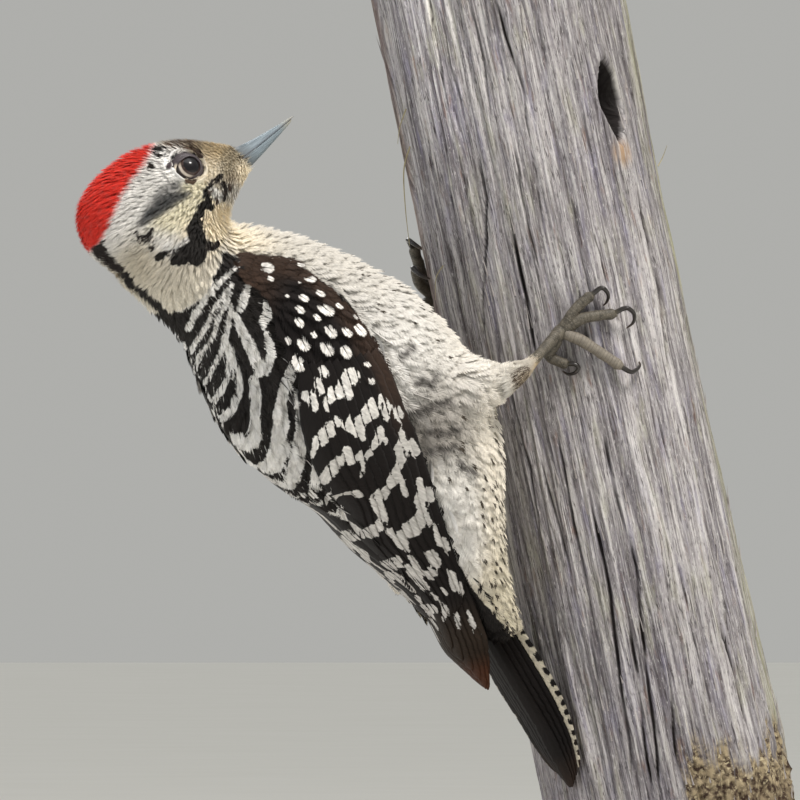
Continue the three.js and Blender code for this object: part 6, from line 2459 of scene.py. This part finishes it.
# mm across the grain, mm along it, seed and detail of each pattern
WOOD_PATTERNS = {
    "bands": (4.6, 95, 1.0, 3.0), "wide": (2.0, 45, 2.0, 3.0), "lines": (1.05, 34, 3.0, 3.0),
    "middle": (0.62, 17, 5.0, 3.0), "fine": (0.33, 6.5, 9.0, 3.0), "speckle": (0.34, 1.3, 11.0, 2.0),
    "tint": (2.4, 16, 13.0, 3.0), "stain": (1.5, 9, 17.0, 3.0), "patches": (3.2, 9, 19.0, 3.0),
}
print("layers of colour on the wood:", len(WOOD_LAYERS))

# %% Mix the wood and steel materials
def wood_grain(recipe):
    """Streaks along the grain at every width, which all wander a little together."""
    add, around, up = recipe.add, recipe.own["round_mm"], recipe.own["up_mm"]

    def streaks(across_mm, along_mm, seed, **settings):
        place = add("CombineXYZ", add("Math", around, across_mm, operation="DIVIDE"),
                    add("Math", up, along_mm, operation="DIVIDE"), seed)
        return add("TexNoise", place, Scale=1.0, **settings)

    wander = streaks(5.0, 13.0, 3.0, Detail=2.0)
    around = add("Math", wander, 0.7, around, operation="MULTIPLY_ADD")
    return {name: streaks(across, along, seed, Detail=detail, Roughness=0.6)
            for name, (across, along, seed, detail) in WOOD_PATTERNS.items()}


def rotten_wood(recipe):
    """Brown crumbling wood at the foot, darker to its lower edge."""
    crumb = recipe.mottling(0.85)
    lower = recipe.add("MapRange", recipe.own["up_mm"], -76.0, -82.5)
    punk = recipe.between(crumb, 0.38, 0.62, "#41332a", "#a99a7d")
    punk = recipe.lay(punk, recipe.mottling(1.6, 2.0), 0.58, 0.68, 0.7, "#cdc09f")
    return recipe.tinge(punk, lower, 0.75, rgba("#38251b")), crumb


def trunk_material():
    """Sun-silvered wood: wandering lilac grey, cream and umber streaks, speckled, with broad painted light and
    shade and painted shade in every split.
    """
    recipe = Recipe("silvered_dead_wood", "round_mm up_mm mossy strip rusty rotten end_grain deep light")
    add, own = recipe.add, recipe.own
    grain = wood_grain(recipe)
    wide, lines, middle, fine = grain["wide"], grain["lines"], grain["middle"], grain["fine"]
    colour = recipe.between(grain["bands"], 0.36, 0.64, "#7f7b80", "#b3afb0")
    for name, low, high, strength, top in WOOD_LAYERS:
        colour = recipe.lay(colour, grain[name], low, high, strength, top)
    for pattern in (lines, wide):  # hair cracks where a pattern crosses its middle
        off_middle = add("Math", add("Math", pattern, 0.5, operation="SUBTRACT"), operation="ABSOLUTE")
        check = add("MapRange", off_middle, 0.010, 0.002)
        check = add("Math", check, add("MapRange", grain["patches"], 0.44, 0.52), operation="MULTIPLY")
        colour = recipe.tinge(colour, check, 0.75, rgba("#2c2627"))
    colour = recipe.lay(colour, grain["speckle"], 0.44, 0.28, 0.55, "#352f31")
    colour = recipe.lay(colour, grain["speckle"], 0.60, 0.74, 0.40, "#f2f0ee")
    green = add("Math", own["mossy"], add("MapRange", wide, 0.35, 0.65), operation="MULTIPLY")
    colour = recipe.tinge(colour, green, 0.55, rgba("#a5a678"))
    bark = recipe.between(middle, 0.40, 0.62, "#3c2620", "#8b7262")
    colour = recipe.tinge(colour, own["strip"], 0.6, bark)
    rust = add("Math", own["rusty"], add("MapRange", middle, 0.35, 0.6), operation="MULTIPLY")
    colour = recipe.tinge(colour, rust, 0.75, rgba("#b08c62"))
    punk, crumb = rotten_wood(recipe)
    ragged = add("Math", middle, 0.5, operation="SUBTRACT")
    rotten = add("Math", ragged, 1.6, own["rotten"], operation="MULTIPLY_ADD")
    colour = add("Mix", add("MapRange", rotten, 0.25, 0.75), colour, punk, data_type="RGBA")
    sawn = add("Mix", crumb, rgba("#8d8074"), rgba("#b5a898"), data_type="RGBA")
    colour = add("Mix", own["end_grain"], colour, sawn, data_type="RGBA")
    # Painted shade in every split and in the beetle hole, nearly black where they are deepest.
    colour = recipe.lay(colour, own["deep"], 0.12, 0.8, 0.93, "#191212")
    # Painted light and shade over the whole trunk, from the table of broad pools.
    colour = recipe.darken(colour, add("Math", own["light"], 1.0, operation="ADD"))
    ridges = add("Math", add("Math", middle, 0.8, operation="MULTIPLY"),
                 add("Math", fine, 0.5, operation="MULTIPLY"), operation="ADD")
    ridges = add("Math", lines, 1.2, ridges, operation="MULTIPLY_ADD")
    ridges = add("Math", grain["speckle"], 0.2, ridges, operation="MULTIPLY_ADD")
    return recipe.finish(colour, 0.86, ridges, 0.36, Specular_IOR_Level=0.22)


def plain_fibre(name, per_mm, first, second, roughness):
    """Dry plant fibre that goes unevenly from one colour to another."""
    recipe = Recipe(name)
    colour = recipe.add("Mix", recipe.mottling(per_mm), rgba(first), rgba(second), data_type="RGBA")
    return recipe.finish(colour, roughness)


def base_material():
    """Dark oiled walnut with long growth lines, under a thin satin polish."""
    recipe = Recipe("oiled_walnut")
    growth = recipe.mottling(0.06, 5.0, 0.6, (1.0, 9.0, 3.0))
    pores = recipe.mottling(0.5, 2.0, 0.5, (1.0, 9.0, 3.0))
    colour = recipe.between(growth, 0.3, 0.7, "#3a251a", "#6a4630")
    colour = recipe.lay(colour, pores, 0.62, 0.74, 0.6, "#1e130d")
    return recipe.finish(colour, 0.42, pores, 0.08, 0.3, Coat_Weight=0.3, Coat_Roughness=0.25)


def steel_material():
    """Brushed steel, turned on a lathe, so its fine marks run round it."""
    recipe = Recipe("brushed_steel")
    marks = recipe.mottling(0.5, 3.0, 0.5, (1.0, 1.0, 22.0))
    colour = recipe.add("Mix", marks, rgba("#a9abad"), rgba("#c9cbcc"), data_type="RGBA")
    polish = recipe.add("MapRange", marks, 0.2, 0.8, 0.22, 0.36)
    return recipe.finish(colour, polish, marks, 0.02, 0.4, Metallic=1.0)


wear(trunk_material(), trunk)
wear(plain_fibre("dry_straw", 0.5, "#7d7458", "#b9b08c", 0.7), straws)
wear(base_material(), base)
wear(steel_material(), rod)

# %% [markdown]
# ## Splinters
#
# Weather lifts short fibres off a bare trunk. They are alike, they stand all over it and they lean out
# along the grain: a task for Geometry Nodes. The tree scatters points on the trunk, stands a thin cone on
# each one and turns it to the grain. A fixed seed gives the same splinters every time.

# %% Raise splinters with a node tree
def splinter_tree(material):
    tree = bpy.data.node_groups.new("splinters_along_the_grain", "GeometryNodeTree")
    face = tree.interface
    face.new_socket("Wood", in_out="INPUT", socket_type="NodeSocketGeometry")
    face.new_socket("Per square metre", in_out="INPUT", socket_type="NodeSocketFloat")
    face.new_socket("Grain", in_out="INPUT", socket_type="NodeSocketVector")
    face.new_socket("Seed", in_out="INPUT", socket_type="NodeSocketInt")
    face.new_socket("Splinters", in_out="OUTPUT", socket_type="NodeSocketGeometry")

    given = add_node(tree, "NodeGroupInput").outputs
    sawn = add_node(tree, "GeometryNodeInputNamedAttribute", Name="end_grain", data_type="FLOAT")
    side = add_node(tree, "FunctionNodeCompare", sawn, 0.5, operation="LESS_THAN")
    points = add_node(tree, "GeometryNodeDistributePointsOnFaces", Mesh=given["Wood"], Selection=side,
                      Density=given["Per square metre"], Seed=given["Seed"]).outputs
    shake = add_node(tree, "FunctionNodeRandomValue", (-0.06, -0.06, -0.06), (0.06, 0.06, 0.06), Seed=3,
                     data_type="FLOAT_VECTOR")
    lean = add_node(tree, "ShaderNodeVectorMath", points["Normal"], Scale=0.11, operation="SCALE")
    way = add_node(tree, "ShaderNodeVectorMath", given["Grain"], lean, operation="ADD")
    way = add_node(tree, "ShaderNodeVectorMath", way, shake, operation="ADD")
    turn = add_node(tree, "FunctionNodeAlignRotationToVector", Vector=way, axis="Z")
    long = add_node(tree, "FunctionNodeRandomValue", 0.35, 1.3, Seed=5, data_type="FLOAT")
    size = add_node(tree, "ShaderNodeCombineXYZ", 1.0, 1.0, long)
    cone = add_node(tree, "GeometryNodeMeshCone", Vertices=5, Radius_Top=0.0, Radius_Bottom=0.2 * MM,
                    Depth=4.2 * MM)
    stood = add_node(tree, "GeometryNodeInstanceOnPoints", Points=points["Points"], Instance=cone,
                     Rotation=turn, Scale=size)
    real = add_node(tree, "GeometryNodeRealizeInstances", stood)
    made = add_node(tree, "GeometryNodeSetMaterial", Geometry=real, Material=material)
    add_node(tree, "NodeGroupOutput", made)
    return tree


def grow_splinters():
    tree = splinter_tree(plain_fibre("weathered_splinter", 0.4, "#6f6868", "#c3bebb", 0.85))
    modifier = trunk.modifiers.new("splinters", "NODES")
    modifier.node_group = tree
    wanted = {"Per square metre": 16000.0, "Grain": tuple(UP), "Seed": 8}
    for socket in tree.interface.items_tree:
        if socket.in_out == "INPUT" and socket.name in wanted:
            modifier[socket.identifier] = wanted[socket.name]
    bpy.context.view_layer.update()
    grown = trunk.evaluated_get(bpy.context.evaluated_depsgraph_get())
    mesh = bpy.data.meshes.new_from_object(grown)
    trunk.modifiers.remove(modifier)
    mesh.name = "trunk_splinters"
    piece = add_object("trunk_splinters", mesh)
    print(piece.name, len(mesh.polygons), "faces")
    return piece


splinters = grow_splinters()

# %% Attach the bare parts and hide the solids they replace
for side in LEGS:
    finish_piece(eyeballs[side], "eye", f"eye_{side}")
    finish_piece(eyelids[side], "eye")
    finish_piece(feet[side], "leg_skin", f"foot_{side}", f"tarsus_{side}")
for (side, name), piece in claws.items():
    finish_piece(piece, "claw_horn", f"claw_{side}_{name}")
for node, piece in bill_pieces.items():
    finish_piece(piece, "bill_horn", node)
finish_piece(nasal_tufts, "plumage")
for piece in cuffs.values():
    finish_piece(piece, "plumage")
finish_piece(trunk, "weathered_wood", "perch")
finish_piece(straws, "weathered_wood")
finish_piece(splinters, "weathered_wood")
finish_piece(base, "base_wood", "stand_base")
finish_piece(rod, "rod_steel", "stand_rod")

# %% [markdown]
# ## Camera, light and floor
#
# A model of this size is looked at from far away through a long lens, so that its near side doesn't swell. A
# soft lamp high on the right gives the shape, and weaker ones from the left, from behind and from above keep
# the shadows open. The floor is plain, so that nothing competes with the bird.

# %% Set the camera
AIM = ORIGIN + np.array([-34.6, 0, 0])
DISTANCE = 4984.0
camera_data = bpy.data.cameras.new("camera")
camera_data.lens = 1200
camera_data.sensor_width = 36
camera_data.clip_end = 20
camera = add_object("camera", camera_data)
camera.location = Vector((AIM - np.array([0, DISTANCE, 0])) * MM)
camera.rotation_euler = (math.radians(90), 0, 0)
bpy.context.scene.camera = camera

# %% Light it softly
def area_light(name, place, size, watts, hex_colour):
    data = bpy.data.lights.new(name, "AREA")
    data.size = size
    data.energy = watts
    data.color = linear(hex_colour)
    lamp = add_object(name, data)
    lamp.location = place
    aim = Vector(AIM * MM) - Vector(place)
    lamp.rotation_euler = aim.to_track_quat("-Z", "Y").to_euler()


area_light("key", (0.42, -0.62, 1.25), 0.34, 17, "#fff9f2")
area_light("fill", (-0.9, -0.9, 0.35), 0.9, 3.5, "#eef3ff")
area_light("rim", (-0.35, 0.8, 0.8), 0.5, 5, "#ffffff")
sky = bpy.data.lights.new("sky", "SUN")
sky.energy = 0.75
sky.angle = math.radians(50)
sky_lamp = add_object("sky", sky)
sky_lamp.rotation_euler = (math.radians(12), math.radians(6), 0)
world = bpy.data.worlds.new("studio")
world.use_nodes = True
world.node_tree.nodes["Background"].inputs["Color"].default_value = rgba("#e4e4e0")
world.node_tree.nodes["Background"].inputs["Strength"].default_value = 0.55
bpy.context.scene.world = world
bpy.context.scene.view_settings.view_transform = "Standard"

# %% Lay the floor
floor_mesh = bpy.data.meshes.new("floor")
HALF = 6.0
floor_corners = [(-HALF, -HALF, 0), (HALF, -HALF, 0), (HALF, HALF, 0), (-HALF, HALF, 0)]
floor_mesh.from_pydata(floor_corners, [], [(0, 1, 2, 3)])
floor = add_object("floor", floor_mesh)
recipe = Recipe("painted_floor")
colour = recipe.add("Mix", recipe.mottling(0.02, 4.0), rgba("#d6d5cf"), rgba("#dddcd7"), data_type="RGBA")
wear(recipe.finish(colour, 0.85), floor)
